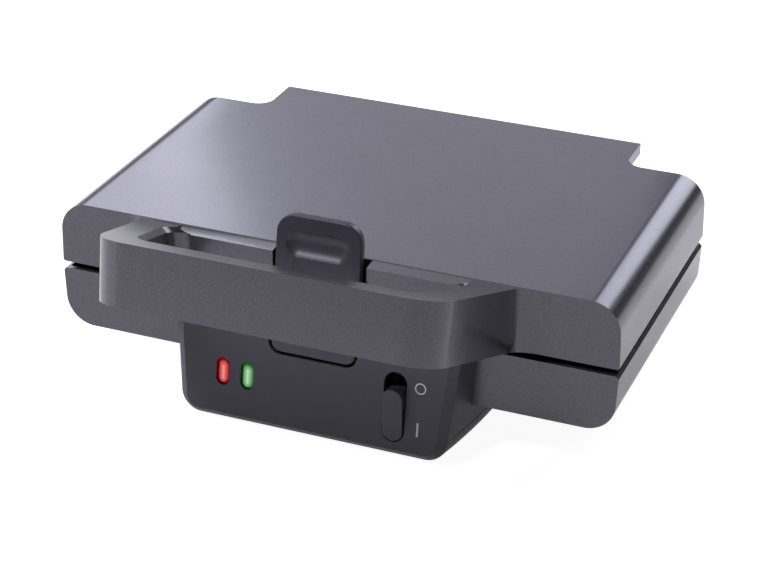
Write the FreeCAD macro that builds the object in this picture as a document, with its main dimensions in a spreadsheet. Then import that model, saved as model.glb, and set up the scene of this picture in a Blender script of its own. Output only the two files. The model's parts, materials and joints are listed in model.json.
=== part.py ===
import FreeCAD, Part
import Sketcher
import math
import os
import re

# Donut maker: a hinged two-plate baking appliance, in millimetres.
# +X is to the user's right at the front, +Y is to the back, +Z is up.
# The origin is the centre of the overall box, on the surface the feet stand on.

SIZES = [
    # overall form of the two shells
    ("body_width", 290.0, "width of base and lid where they meet"),
    ("body_depth", 151.0, "depth of base and lid without handle and hinge cover"),
    ("base_height", 30.5, "height of the base shell"),
    ("lid_height", 33.2, "height of the lid shell"),
    ("lid_gap", 3.6, "open gap between base rim and lid rim"),
    ("wall", 2.5, "moulded wall"),
    ("base_taper", 1.3, "each side of the base draws in by this at the bottom"),
    ("lid_taper", 0.7, "each side of the lid draws in by this at the top"),
    ("base_edge", 15.0, "radius of the base's lower side edges"),
    ("lid_edge", 15.3, "radius of the lid's upper side edges"),
    ("rim_bevel", 1.4, "bevel of the base rim along the sides"),
    ("lid_bevel", 0.8, "bevel of the lid rim along the sides"),
    # hinge cover at the back of the lid
    ("cover_width", 202.7, "width of the hinge cover"),
    ("cover_reach", 29.6, "how far the hinge cover reaches behind the body"),
    ("cover_drop", 6.0, "height of the hinge cover's edge"),
    ("cover_cove", 9.0, "plan radius where the hinge cover leaves the body"),
    # handle, in one piece with the lid
    ("handle_reach", 76.9, "top front edge of the handle, ahead of the body"),
    ("handle_rise", 26.15, "top front edge of the handle, above the lid"),
    ("handle_lean", 6.1, "the handle's front face leans out by this at its foot"),
    ("handle_face", 30.3, "height of the handle's front face"),
    ("handle_front", 167.4, "width of the handle at its front corners"),
    ("handle_root", 192.8, "width of the handle where it meets the body"),
    ("handle_corner", 18.0, "radius of the handle's front corners"),
    ("handle_cove", 12.0, "plan radius between handle and body"),
    ("handle_bar", 17.5, "width of the bar round the finger slot"),
    ("slot_lip", 11.6, "finger slot's rear wall, ahead of the body"),
    ("slot_corner", 8.5, "corner radius of the finger slot"),
    ("slot_bevel", 2.4, "bevel round the mouth of the finger slot"),
    ("scoop_reach", 7.4, "wide bevel behind the finger slot, from front to back"),
    ("scoop_fall", 3.0, "height of the wide bevel behind the finger slot"),
    ("notch_side", 2.4, "room on each side of the latch in its recess"),
    ("notch_lip", 2.1, "back of the latch recess, ahead of the body"),
    ("handle_cover_gap", 0.3, "clearance round the handle's underside cover"),
    # pedestal with the control console
    ("foot_height", 2.0, "rubber foot below the pedestal"),
    ("pedestal_drop", 21.4, "pedestal below the base"),
    ("pedestal_low", 67.8, "half width of the pedestal at its foot"),
    ("pedestal_top", 70.8, "half width of the pedestal at the base rim"),
    ("pedestal_bow", 10.0, "sides of the pedestal bow out by this halfway back"),
    ("pedestal_back", 6.0, "pedestal's rear wall, ahead of the body's rear face"),
    ("console_low", 26.8, "console's foot, ahead of the body"),
    ("console_lean", 7.6, "console's face leans back by this over its height"),
    ("console_edge", 10.0, "radius of the pedestal's lower side edges"),
    ("console_bevel", 3.8, "bevel round the console's face"),
    ("skirt", 12.0, "depth of the console's front skirt"),
    ("seam_height", 11.0, "seam of the bottom cover, above the pedestal's foot"),
    ("seam_gap", 0.4, "width of the seam"),
    ("way_half", 42.0, "half width of the opening between base and pedestal"),
    ("way_inset", 18.0, "that opening from the base's front and rear faces"),
    ("way_step", 2.0, "the pedestal's opening is smaller by this on every side"),
    ("joint_gap", 0.1, "gap between fixed parts that sit against each other"),
    # controls, measured in the console's face from its foot
    ("lens_width", 6.3, "pilot lens"),
    ("lens_height", 13.4, "pilot lens"),
    ("lens_level", 25.6, "centre of the lenses and of the switch"),
    ("lens_sunk", 0.3, "flat of the lens behind the console's face"),
    ("lens_bevel", 1.2, "bevel round the lens"),
    ("lens_gap", 0.45, "open gap round a lens"),
    ("lens_flange", 1.3, "flange round the back of a lens"),
    ("flange_depth", 1.5, "thickness of that flange"),
    ("red_lens_at", -46.1, "across the console"),
    ("green_lens_at", -33.2, "across the console"),
    ("lamp_radius", 2.4, "glow lamp"),
    ("lamp_length", 12.0, "glow lamp"),
    ("lamp_gap", 0.8, "lamp behind the back of its lens"),
    ("switch_at", 43.1, "across the console"),
    ("switch_opening_width", 11.6, "opening for the rocker"),
    ("switch_opening_height", 35.6, "opening for the rocker"),
    ("rocker_width", 10.2, "rocker"),
    ("rocker_drop", 17.1, "lower end of the rocker below its axle"),
    ("rocker_rise", 10.4, "upper end of the rocker above its axle"),
    ("rocker_proud", 5.0, "upper end stands out of the console"),
    ("rocker_flush", 0.2, "lower end stands out of the console"),
    ("rocker_back", 2.6, "back of the rocker behind its axle"),
    ("rocker_axle", 7.0, "rocker axle behind the console's face"),
    ("rocker_pin", 1.5, "radius of the rocker's stub axles"),
    ("switch_wall", 1.8, "wall of the switch body"),
    ("switch_depth", 12.0, "depth of the switch body behind the panel"),
    ("blade_half", 2.4, "half width of the switch's terminal blades"),
    ("blade_thick", 0.8, "terminal blades"),
    ("blade_length", 3.0, "terminal blades behind the switch body"),
    ("blade_pitch", 11.0, "terminal blades from each other"),
    # latch
    ("latch_half", 21.6, "half width of the latch lever"),
    ("latch_drop", 10.85, "lower edge of the latch lever below the console's top"),
    ("latch_rise", 58.75, "upper edge of the latch lever above the console's top"),
    ("latch_thick", 4.5, "thickness of the latch lever"),
    ("latch_head_corner", 9.5, "upper corner radius"),
    ("latch_foot_corner", 5.0, "lower corner radius"),
    ("latch_round", 0.8, "radius of the lever's front edges"),
    ("latch_gap", 1.4, "open groove round the latch in the console"),
    ("latch_axis_back", 8.0, "latch pin behind the console's face"),
    ("latch_axis_drop", 6.45, "latch pin below the console's top"),
    ("latch_pin_radius", 1.5, "latch pin"),
    ("latch_barrel", 3.4, "radius of the latch barrel"),
    ("latch_lug", 3.0, "width of each lug that holds the latch pin"),
    ("lug_low", 6.0, "lug below the latch pin"),
    ("lug_high", 1.0, "lug above the latch pin's middle"),
    ("lug_back", 4.0, "lug behind the latch pin's middle"),
    ("barrel_inset", 0.6, "latch barrel from the lever's sides"),
    ("spring_half", 8.0, "half width of the spring's gap in the barrel"),
    ("spring_wire", 0.5, "radius of the spring's wire"),
    ("spring_clear", 0.5, "spring from the pin and from the ends of its gap"),
    ("dimple_width", 33.4, "thumb dimple"),
    ("dimple_height", 13.4, "thumb dimple"),
    ("dimple_drop", 13.6, "centre of the thumb dimple below the lever's upper edge"),
    ("dimple_depth", 3.0, "thumb dimple"),
    ("hook_half", 7.0, "half width of the latch hook"),
    ("hook_rise", 3.0, "height of the hook's nose"),
    ("hook_ramp", 5.0, "slope below the hook's nose"),
    ("hook_below", 2.3, "top of the hook's nose below the top of the catch window"),
    ("hook_clear", 0.5, "hook's nose to the recess wall when the lid is free"),
    ("window_half", 9.0, "half width of the catch window in the lid"),
    ("window_low", 11.0, "catch window above the lid rim"),
    ("window_tall", 8.0, "height of the catch window"),
    ("running", 0.08, "radial clearance of a pin that turns in its bore"),
    ("pressed", 0.02, "radial clearance of a pin that is fixed in its bore"),
    # baking plates
    ("plate_clear", 4.5, "baking plate from the inside of the shells"),
    ("plate_corner", 6.0, "corner radius of the baking plate"),
    ("plate_thick", 3.0, "flange of the baking plate"),
    ("plate_gap", 0.6, "gap between the two plates"),
    ("ring_gap", 4.0, "flat between neighbouring rings"),
    ("ring_radius", 17.5, "centre line of a ring cavity"),
    ("ring_half", 11.5, "half thickness of a ring"),
    ("bowl_wall", 2.5, "wall of the bowl below a ring cavity"),
    ("screw_inset", 9.0, "plate screws from the plate's edges"),
    ("screw_radius", 2.0, "plate screw"),
    ("screw_head", 3.8, "radius of the countersunk head"),
    ("screw_length", 12.0, "plate screw below the plate's face"),
    ("screw_sunk", 0.2, "shank's end within the head, below the plate's face"),
    ("screw_clear", 0.1, "radial clearance of screws"),
    ("post_radius", 5.0, "screw posts of the shells"),
    # heating
    ("heater_radius", 3.2, "sheathed heating element"),
    ("heater_bend", 22.0, "bend radius of the element's centre line"),
    ("heater_clear", 0.1, "element below the bowls"),
    ("heater_end", 16.0, "element's ends from the middle"),
    ("cold_pin", 1.4, "radius of the element's terminal pins"),
    ("cold_pin_length", 8.0, "element's terminal pins"),
    ("tray_end", 16.0, "heat reflector from the ends of the plate"),
    ("tray_side", 11.5, "heat reflector from the sides of the plate"),
    ("tray_corner", 8.0, "corner radius of the heat reflector"),
    ("tray_screw_end", 10.0, "reflector screws from the reflector's ends"),
    ("tray_screw_side", 8.0, "reflector screws from the reflector's sides"),
    ("tray_bite", 4.0, "reflector screws below the reflector"),
    ("tray_thick", 0.8, "heat reflector"),
    ("tray_lip", 5.0, "height of the reflector's lip"),
    ("tray_clear", 1.5, "reflector from the element"),
    ("small_screw", 1.5, "radius of the small screws"),
    ("small_head", 3.0, "head radius of the small screws"),
    ("small_head_height", 2.0, "head height of the small screws"),
    ("stand_radius", 4.0, "small screw posts"),
    ("post_side", 6.0, "bottom cover's screws from the rounded edge"),
    ("post_front", 16.0, "front screws of the bottom cover behind the skirt"),
    ("post_rear", 12.0, "rear screws of the bottom cover from the rear wall"),
    ("cover_screw", 9.5, "length of the bottom cover's screws"),
    ("cover_head", 1.1, "head height of the bottom cover's screws"),
    ("head_sunk", 0.1, "those heads above the cover's underside"),
    ("thermostat_radius", 8.0, "bimetal thermostat"),
    ("thermostat_height", 6.0, "bimetal thermostat"),
    ("fuse_radius", 2.2, "thermal fuse"),
    ("fuse_length", 14.0, "thermal fuse"),
    ("tab_half", 2.5, "half width of the thermostat's terminal tab"),
    ("tab_drop", 5.0, "thermostat's terminal tab"),
    # hinge
    ("hinge_back", 9.0, "hinge pins behind the body"),
    ("hinge_pin", 2.5, "radius of the hinge pins"),
    ("knuckle", 6.0, "outer radius of the hinge knuckles"),
    ("ear_at", 78.0, "inner face of each base hinge ear from the middle"),
    ("ear_width", 12.0, "base hinge ear"),
    ("arm_width", 12.0, "lid hinge arm"),
    ("hinge_side_gap", 0.6, "gap between ear and arm"),
    ("ear_drop", 16.0, "foot of the ear below the pins"),
    ("arm_rise", 18.0, "top of the arm above the pins"),
    # wiring and inlet
    ("inlet_at", 42.0, "cord inlet across the rear wall"),
    ("inlet_level", 13.0, "cord inlet above the table"),
    ("inlet_bore", 3.6, "radius of the inlet bush's bore"),
    ("inlet_wall", 1.6, "wall of the inlet bush"),
    ("inlet_flange", 7.0, "radius of the inlet bush's flange"),
    ("flange_thick", 1.5, "inlet bush flange"),
    ("block_length", 26.0, "terminal block"),
    ("block_width", 16.0, "terminal block"),
    ("block_height", 10.0, "terminal block"),
    ("block_pitch", 8.0, "ways of the terminal block"),
    ("block_back", 30.0, "terminal block from the rear wall"),
    ("block_lift", 0.5, "terminal block above the cover's floor"),
    ("way_clear", 0.3, "radial clearance of a wire in its way"),
    ("wire_end", 1.0, "wires from the terminal block"),
    ("lamp_wire_at", 24.0, "wire to the lamps, behind the console's foot"),
    ("switch_wire_at", 36.0, "end of the wire to the switch, behind the console's foot"),
    ("wire_radius", 1.2, "insulated internal wire"),
    ("wire_bend", 8.0, "bend of a wire's centre line"),
    ("foot_radius", 7.0, "rubber foot"),
    ("foot_step", 12.0, "feet are further in than the cover's screws by this"),
    ("foot_front", 8.0, "front feet behind the skirt"),
    ("foot_recess", 1.2, "feet sit this deep in the bottom cover"),
]

doc = FreeCAD.newDocument("donut_maker")
sheet = doc.addObject("Spreadsheet::Sheet", "size")
for row, (alias, value, note) in enumerate(SIZES, start=1):
    sheet.set(f"A{row}", alias)
    sheet.set(f"B{row}", str(value))
    sheet.setAlias(f"B{row}", alias)
    sheet.set(f"C{row}", note)
doc.recompute()

ALIASES = {alias for alias, value, note in SIZES}


def bound(expression):
    """Write an expression of sheet names in the form that the document binds."""
    text = str(expression)
    return re.sub(r"[a-z][a-z_]*", lambda m: "size." + m[0] if m[0] in ALIASES else m[0], text)


def value_of(expression):
    """The present value of an expression of sheet names."""
    return float(sheet.evalExpression(bound(expression)))


# Levels and faces that several pieces share, from the table up and from front to back.
MID = "((handle_reach + handle_lean - cover_reach) / 2)"
FRONT = f"({MID} - body_depth / 2)"
REAR = f"({MID} + body_depth / 2)"
FOOT = "foot_height"
SEAM = "(foot_height + seam_height)"
BASE_LOW = "(foot_height + pedestal_drop)"
BASE_TOP = f"({BASE_LOW} + base_height)"
PARTING = f"({BASE_TOP} + lid_gap / 2)"
LID_LOW = f"({BASE_TOP} + lid_gap)"
LID_TOP = f"({LID_LOW} + lid_height)"
HINGE_Y = f"({REAR} + hinge_back)"
CONSOLE_FOOT = f"({FRONT} - console_low)"
PEDESTAL_REAR = f"({REAR} - pedestal_back)"
NOTCH_HALF = "(latch_half + notch_side)"

# Plates, rings and reflectors are sized from the shells that hold them.
PLATE_HALF_X = "(body_width / 2 - wall - plate_clear)"
PLATE_HALF_Y = "(body_depth / 2 - wall - plate_clear)"
RING_PITCH = "(2 * (ring_radius + ring_half) + ring_gap)"
TRAY_HALF_X = f"({PLATE_HALF_X} - tray_end)"
TRAY_HALF_Y = f"({PLATE_HALF_Y} - tray_side)"

# The latch is laid out from the console's top, measured in the console's sloping face.
LEAN_ANGLE = "atan(console_lean / (base_height + pedestal_drop))"
CONSOLE_SLANT = "sqrt((base_height + pedestal_drop)^2 + console_lean^2)"
LATCH_FOOT = f"({CONSOLE_SLANT} - latch_drop)"
LATCH_HEAD = f"({CONSOLE_SLANT} + latch_rise)"
LATCH_AXIS = f"({CONSOLE_SLANT} - latch_axis_drop)"
DIMPLE_LEVEL = f"({LATCH_HEAD} - dimple_drop)"
WINDOW_TOP = f"({LID_LOW} + window_low + window_tall)"
# a level of the lid's recess wall, seen along the console's face
HOOK_HIGH = (f"((({WINDOW_TOP} - foot_height) + (console_low - notch_lip) * tan({LEAN_ANGLE}))"
             f" * cos({LEAN_ANGLE}) - hook_below)")
HOOK_LOW = f"({HOOK_HIGH} - hook_rise)"
# distance of the lid's recess wall from the console's face, at the hook, square to that face
HOOK_REACH = (f"((console_low - notch_lip) / cos({LEAN_ANGLE})"
              f" - {HOOK_HIGH} * tan({LEAN_ANGLE}) - hook_clear)")
SPAN_RUN = f"(({PEDESTAL_REAR} - {CONSOLE_FOOT}) / 2)"
BOW_RADIUS = f"(({SPAN_RUN}^2 + pedestal_bow^2) / (2 * pedestal_bow))"

# a fillet just under half of a width, so that a sliver of flat is left between the two
ROUND = 0.495

PLANES = {"x": "YZ_Plane", "y": "XZ_Plane", "z": "XY_Plane"}
ZERO = FreeCAD.Vector(0, 0, 0)


def new_body(name):
    return doc.addObject("PartDesign::Body", name)


def new_sketch(owner, axis, level, loops):
    """A sketch square to an axis at a level, with every corner bound to sheet names.

    A loop is a list of (across, along) corners, or ("circle", across, along, radius).
    """
    if hasattr(owner, "Origin"):
        sketch = owner.newObject("Sketcher::SketchObject", "outline")
        plane = next(o for o in owner.Origin.OriginFeatures if o.Role == PLANES[axis])
        sketch.AttachmentSupport = [(plane, "")]
        sketch.MapMode = "FlatFace"
        sign = "-1 * " if axis == "y" else ""
        sketch.setExpression("AttachmentOffset.Base.z", bound(f"{sign}({level})"))
    for loop in loops:
        first = sketch.GeometryCount
        if loop[0] == "circle":
            middle = FreeCAD.Vector(value_of(loop[1]), value_of(loop[2]), 0)
            sketch.addGeometry(Part.Circle(middle, FreeCAD.Vector(0, 0, 1), value_of(loop[3])))
            bind(sketch, "DistanceX", first, 3, loop[1])
            bind(sketch, "DistanceY", first, 3, loop[2])
            index = sketch.addConstraint(Sketcher.Constraint("Radius", first, value_of(loop[3])))
            sketch.setExpression(f"Constraints[{index}]", bound(loop[3]))
            continue
        corners = [FreeCAD.Vector(value_of(u), value_of(v), 0) for u, v in loop]
        for k, corner in enumerate(corners):
            sketch.addGeometry(Part.LineSegment(corner, corners[(k + 1) % len(corners)]))
        for k in range(len(corners)):
            following = first + (k + 1) % len(corners)
            sketch.addConstraint(Sketcher.Constraint("Coincident", first + k, 2, following, 1))
        for k, (u, v) in enumerate(loop):
            bind(sketch, "DistanceX", first + k, 1, u)
            bind(sketch, "DistanceY", first + k, 1, v)
    return sketch


def bind(sketch, kind, geometry, point, expression):
    """Hold a point's distance from the sketch origin to an expression."""
    start = value_of(expression)
    index = sketch.addConstraint(Sketcher.Constraint(kind, -1, 1, geometry, point, start))
    sketch.setExpression(f"Constraints[{index}]", bound(expression))


def sweep_solid(owner, kind, axis, low, high, loops):
    """Pad or pocket loops along an axis from the low level to the high level."""
    sketch = new_sketch(owner, axis, low, loops)
    feature = owner.newObject(kind, kind.split("::")[1].lower())
    feature.Profile = sketch
    feature.setExpression("Length", bound(f"({high}) - ({low})"))
    # a pad grows along the sketch's normal and a pocket against it; on y that normal is -Y
    feature.Reversed = (axis != "y") != kind.endswith("Pad")
    before = owner.Shape.Volume if owner.Shape and not owner.Shape.isNull() else 0.0
    doc.recompute()
    change = feature.Shape.Volume - before
    if kind.endswith("Pocket") and not change < -1e-3:
        raise RuntimeError(f"{owner.Name}: a pocket removed nothing")
    return feature


def pad(owner, axis, low, high, *loops):
    return sweep_solid(owner, "PartDesign::Pad", axis, low, high, loops)


def pocket(owner, axis, low, high, *loops):
    return sweep_solid(owner, "PartDesign::Pocket", axis, low, high, loops)


def dress(owner, kind, size, chosen):
    """Fillet or chamfer the edges of the body's tip that a test picks out."""
    base = owner.Tip
    names = [f"Edge{k}" for k, edge in enumerate(base.Shape.Edges, start=1) if chosen(edge)]
    if not names:
        raise RuntimeError(f"{owner.Name}: no edge to {kind.lower()}")
    feature = owner.newObject(f"PartDesign::{kind}", kind.lower())
    feature.Base = (base, names)
    feature.setExpression("Radius" if kind == "Fillet" else "Size", bound(size))
    doc.recompute()
    return feature


def near(number, target, reach=0.05):
    return abs(number - target) < reach


def along(axis, **limits):
    """A test for straight edges along an axis whose centre lies at the given coordinates."""
    def chosen(edge):
        if edge.Curve.TypeId != "Part::GeomLine":
            return False
        direction = edge.tangentAt(edge.FirstParameter)
        if abs(getattr(direction, axis)) < 0.9:
            return False
        centre = edge.CenterOfMass
        for name, target in limits.items():
            own = getattr(centre, name[-1])
            own = abs(own) if name.startswith("abs_") else own
            low, high = target
            if not low <= own <= high:
                return False
        return True
    return chosen


def about(expression, reach=0.6):
    centre = value_of(expression)
    return centre - reach, centre + reach


def rectangle(left, right, low, high):
    return [(left, low), (right, low), (right, high), (left, high)]


def mirrored(points):
    """The same loop on the other side of the middle plane."""
    return [(f"-1 * ({u})", v) for u, v in reversed(points)]


def cylinder(name, axis, x, y, z, radius, length, angle=None):
    """A round bar from (x, y, z) along an axis."""
    item = doc.addObject("Part::Cylinder", name)
    item.setExpression("Radius", bound(radius))
    item.setExpression("Height", bound(length))
    turns = {"x": (FreeCAD.Vector(0, 1, 0), 90), "y": (FreeCAD.Vector(1, 0, 0), -90), "z": (ZERO, 0)}
    direction, degrees = turns[axis]
    if degrees:
        item.Placement = FreeCAD.Placement(ZERO, FreeCAD.Rotation(direction, degrees))
    place(item, x, y, z)
    return item


def box(name, x, y, z):
    """A block between two levels on each axis."""
    item = doc.addObject("Part::Box", name)
    for size, (low, high) in zip(("Length", "Width", "Height"), (x, y, z)):
        item.setExpression(size, bound(f"({high}) - ({low})"))
    place(item, x[0], y[0], z[0])
    return item


def place(item, x, y, z):
    for axis, expression in zip("xyz", (x, y, z)):
        item.setExpression(f"Placement.Base.{axis}", bound(expression))


def joined(name, items):
    item = doc.addObject("Part::MultiFuse", name)
    item.Shapes = items
    item.Refine = True
    return item


def grouped(name, items):
    """Several separate solids as one node."""
    item = doc.addObject("Part::Compound", name)
    item.Links = items
    return item


def less(name, base, tool):
    item = doc.addObject("Part::Cut", name)
    item.Base = base
    item.Tool = tool
    return item


def shared(name, base, tool):
    item = doc.addObject("Part::Common", name)
    item.Base = base
    item.Tool = tool
    return item


nodes = {}


def node(label, item):
    """Name a finished piece."""
    item.Label = label
    nodes[label] = item
    return item


# ---------------------------------------------------------------- base shell
INNER_LOW = f"({BASE_LOW} + wall)"
BASE_TURN = "(body_width / 2 - base_taper)"


def plate_screw_place(sx, sy):
    """Middle of a plate screw and its post."""
    return (f"{sx} * ({PLATE_HALF_X} - screw_inset)",
            f"({MID} + {sy} * ({PLATE_HALF_Y} - screw_inset))")


def tray_screw_place(sx, sy):
    """Middle of a reflector screw and its post."""
    return (f"{sx} * ({TRAY_HALF_X} - tray_screw_end)",
            f"({MID} + {sy} * ({TRAY_HALF_Y} - tray_screw_side))")


def ear_outline():
    """Side view of a base hinge ear: a gusset from the rear wall up to the pin."""
    return [(f"{REAR} - wall / 2", f"{PARTING} - ear_drop"),
            (f"{REAR} + 1.5", f"{PARTING} - ear_drop"),
            (f"{HINGE_Y} + knuckle * 0.94", f"{PARTING} - knuckle * 0.34"),
            (HINGE_Y, f"{PARTING} - knuckle * 0.2"),
            (f"{REAR} - wall / 2", f"{PARTING} - knuckle * 0.7")]


def base_shell():
    body = new_body("base_shell_body")
    half = "body_width / 2"
    pad(body, "y", FRONT, REAR,
        [(f"-{BASE_TURN}", BASE_LOW), (BASE_TURN, BASE_LOW), (half, BASE_TOP), (f"-{half}", BASE_TOP)])
    inner_low = f"({BASE_TURN} - wall)"
    inner_high = f"({half} - wall)"
    pocket(body, "y", f"{FRONT} + wall", f"{REAR} - wall",
           [(f"-{inner_low}", INNER_LOW), (inner_low, INNER_LOW),
            (inner_high, f"{BASE_TOP} + 1"), (f"-{inner_high}", f"{BASE_TOP} + 1")])
    dress(body, "Fillet", "base_edge - wall", along("y", z=about(INNER_LOW), abs_x=about(inner_low)))
    dress(body, "Fillet", "base_edge", along("y", z=about(BASE_LOW), abs_x=about(BASE_TURN)))
    dress(body, "Chamfer", "rim_bevel", along("y", z=about(BASE_TOP, 0.1), abs_x=about(half, 0.1)))
    pocket(body, "z", f"{BASE_LOW} - 1", f"{INNER_LOW} + 1",
           rectangle("-way_half", "way_half", f"{FRONT} + way_inset", f"{REAR} - way_inset"))
    for sx in (-1, 1):
        for sy in (-1, 1):
            x, y = plate_screw_place(sx, sy)
            top = f"{PARTING} - plate_gap / 2 - plate_thick"
            pad(body, "z", f"{INNER_LOW} - wall / 2", top, ("circle", x, y, "post_radius"))
            pocket(body, "z", f"{PARTING} - plate_gap / 2 - screw_length - 2", f"{top} + 1",
                   ("circle", x, y, "screw_radius + screw_clear"))
            x, y = tray_screw_place(sx, sy)
            pad(body, "z", f"{INNER_LOW} - wall / 2", TRAY_LOW, ("circle", x, y, "stand_radius"))
            pocket(body, "z", f"{TRAY_LOW} - tray_bite - 1", f"{TRAY_LOW} + 1",
                   ("circle", x, y, "small_screw + screw_clear"))
    pin_hole = ("circle", HINGE_Y, PARTING, "hinge_pin + pressed")
    for low, high in (("-ear_at - ear_width", "-ear_at"), ("ear_at", "ear_at + ear_width")):
        pad(body, "x", low, high, ear_outline())
        pad(body, "x", low, high, ("circle", HINGE_Y, PARTING, "knuckle"))
        pocket(body, "x", f"{low} - 1", f"{high} + 1", pin_hole)
    return body


# ---------------------------------------------------------------- plates
BOWL_LOW = f"({PARTING} - plate_gap / 2 - ring_half - bowl_wall)"
HEATER_Z = f"({BOWL_LOW} - heater_clear - heater_radius)"
TRAY_LOW = f"({HEATER_Z} - heater_radius - tray_clear - tray_thick)"


def mirror_level(expression, side):
    """A level for the lower half, or the same distance above the parting plane for the lid."""
    return expression if side < 0 else f"(2 * {PARTING} - {expression})"


def donut_plate(label, side):
    """Cast plate with two rows of ring cavities, bowls on its back, and screw holes."""
    face = mirror_level(f"({PARTING} - plate_gap / 2)", side)
    back = mirror_level(f"({PARTING} - plate_gap / 2 - plate_thick)", side)
    low, high = (back, face) if side < 0 else (face, back)
    slab = new_body(label + "_slab")
    pad(slab, "z", low, high, rectangle(f"-{PLATE_HALF_X}", PLATE_HALF_X,
                                        f"{MID} - {PLATE_HALF_Y}", f"{MID} + {PLATE_HALF_Y}"))
    dress(slab, "Fillet", "plate_corner", along("z"))
    bowls, rings = [], []
    for column in (-1.5, -0.5, 0.5, 1.5):
        for line in (-0.5, 0.5):
            x, y = f"{column} * {RING_PITCH}", f"{MID} + {line} * {RING_PITCH}"
            for items, radius in ((bowls, "ring_half + bowl_wall"), (rings, "ring_half")):
                ring = doc.addObject("Part::Torus", "ring")
                ring.setExpression("Radius1", bound("ring_radius"))
                ring.setExpression("Radius2", bound(radius))
                place(ring, x, y, face)
                items.append(ring)
    outside = mirror_level(f"({BOWL_LOW} - bowl_wall)", side)
    span = (outside, face) if side < 0 else (face, outside)
    keep = box("keep", (f"-{PLATE_HALF_X}", PLATE_HALF_X),
               (f"{MID} - {PLATE_HALF_Y}", f"{MID} + {PLATE_HALF_Y}"), span)
    back_half = shared("bowls", joined("bowl_rings", bowls), keep)
    blank = joined("blank", [slab, back_half])
    tools = list(rings)
    for sx in (-1, 1):
        for sy in (-1, 1):
            x, y = plate_screw_place(sx, sy)
            z = f"({low}) - 1"
            tools.append(cylinder("screw_hole", "z", x, y, z, "screw_radius + screw_clear",
                                  "plate_thick + 2"))
            tools.append(countersink(x, y, side, "screw_clear"))
    return node(label, less(label, blank, joined("ring_tools", tools)))


def countersink(x, y, side, extra):
    """The cone of a countersunk screw head, with its wide end in the plate's face."""
    cone = doc.addObject("Part::Cone", "head")
    height = "(screw_head - screw_radius)"
    wide, narrow = f"screw_head + {extra}", f"screw_radius + {extra}"
    face = mirror_level(f"({PARTING} - plate_gap / 2)", side)
    if side < 0:
        cone.setExpression("Radius1", bound(narrow))
        cone.setExpression("Radius2", bound(wide))
        place(cone, x, y, f"{face} - {height}")
    else:
        cone.setExpression("Radius1", bound(wide))
        cone.setExpression("Radius2", bound(narrow))
        place(cone, x, y, face)
    cone.setExpression("Height", bound(height))
    return cone


def plate_screws(label, side):
    screws = []
    for sx in (-1, 1):
        for sy in (-1, 1):
            x, y = plate_screw_place(sx, sy)
            head = countersink(x, y, side, "0")
            start = mirror_level(f"({PARTING} - plate_gap / 2 - screw_length)", side)
            start = start if side < 0 else f"({start} - screw_length + screw_sunk)"
            shank = cylinder("shank", "z", x, y, start, "screw_radius", "screw_length - screw_sunk")
            screws.append(joined("screw", [head, shank]))
    return node(label, grouped(label, screws))


def bent_tube(name, corners, level, radius, bend):
    """A round tube through square corners in a level plane, with quarter-ring bends."""
    points = [(value_of(x), value_of(y)) for x, y in corners]
    parts = []
    count = len(points)
    for k in range(count - 1):
        (x0, y0), (x1, y1) = points[k], points[k + 1]
        run_x = abs(x1 - x0) > abs(y1 - y0)
        trim_low = bend if k > 0 else "0"
        trim_high = bend if k < count - 2 else "0"
        forward = (x1 > x0) if run_x else (y1 > y0)
        start = k if forward else k + 1
        first_trim = trim_low if forward else trim_high
        across = 0 if run_x else 1
        length = f"({corners[k + 1 if forward else k][across]}) - ({corners[start][across]})"
        length = f"{length} - ({trim_low}) - ({trim_high})"
        x, y = corners[start]
        if run_x:
            x = f"{x} + {first_trim}"
        else:
            y = f"{y} + {first_trim}"
        parts.append(cylinder("run", "x" if run_x else "y", x, y, level, radius, length))
    for k in range(1, count - 1):
        before, here, after = points[k - 1], points[k], points[k + 1]
        ways = [(before[0] - here[0], before[1] - here[1]), (after[0] - here[0], after[1] - here[1])]
        side_x = next(1 if w[0] > 0 else -1 for w in ways if abs(w[0]) > abs(w[1]))
        side_y = next(1 if w[1] > 0 else -1 for w in ways if abs(w[1]) > abs(w[0]))
        turn = doc.addObject("Part::Torus", "bend")
        turn.setExpression("Radius1", bound(bend))
        turn.setExpression("Radius2", bound(radius))
        turn.Angle3 = 90
        # the quarter starts opposite to the way its own centre lies
        quarter = {(1, 1): 180, (-1, 1): 270, (-1, -1): 0, (1, -1): 90}[(side_x, side_y)]
        turn.Placement = FreeCAD.Placement(ZERO, FreeCAD.Rotation(FreeCAD.Vector(0, 0, 1), quarter))
        place(turn, f"{corners[k][0]} + {side_x} * ({bend})", f"{corners[k][1]} + {side_y} * ({bend})",
              level)
        parts.append(turn)
    return joined(name, parts) if len(parts) > 1 else parts[0]


def heating_element(label, side):
    """Sheathed element: one loop below the rings, its two ends beside each other at the back."""
    reach_x, reach_y = f"1.5 * {RING_PITCH}", f"0.5 * {RING_PITCH}"
    corners = [("heater_end", f"{MID} + {reach_y}"), (reach_x, f"{MID} + {reach_y}"),
               (reach_x, f"{MID} - {reach_y}"), (f"-{reach_x}", f"{MID} - {reach_y}"),
               (f"-{reach_x}", f"{MID} + {reach_y}"), ("-heater_end", f"{MID} + {reach_y}")]
    level = mirror_level(HEATER_Z, side)
    tube = bent_tube(label + "_tube", corners, level, "heater_radius", "heater_bend")
    pins = []
    for sign in (-1, 1):
        start = "-heater_end" if sign < 0 else "heater_end - cold_pin_length"
        pins.append(cylinder("cold_pin", "x", start, f"{MID} + {reach_y}", level, "cold_pin",
                             "cold_pin_length"))
    return node(label, joined(label, [tube] + pins))


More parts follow.
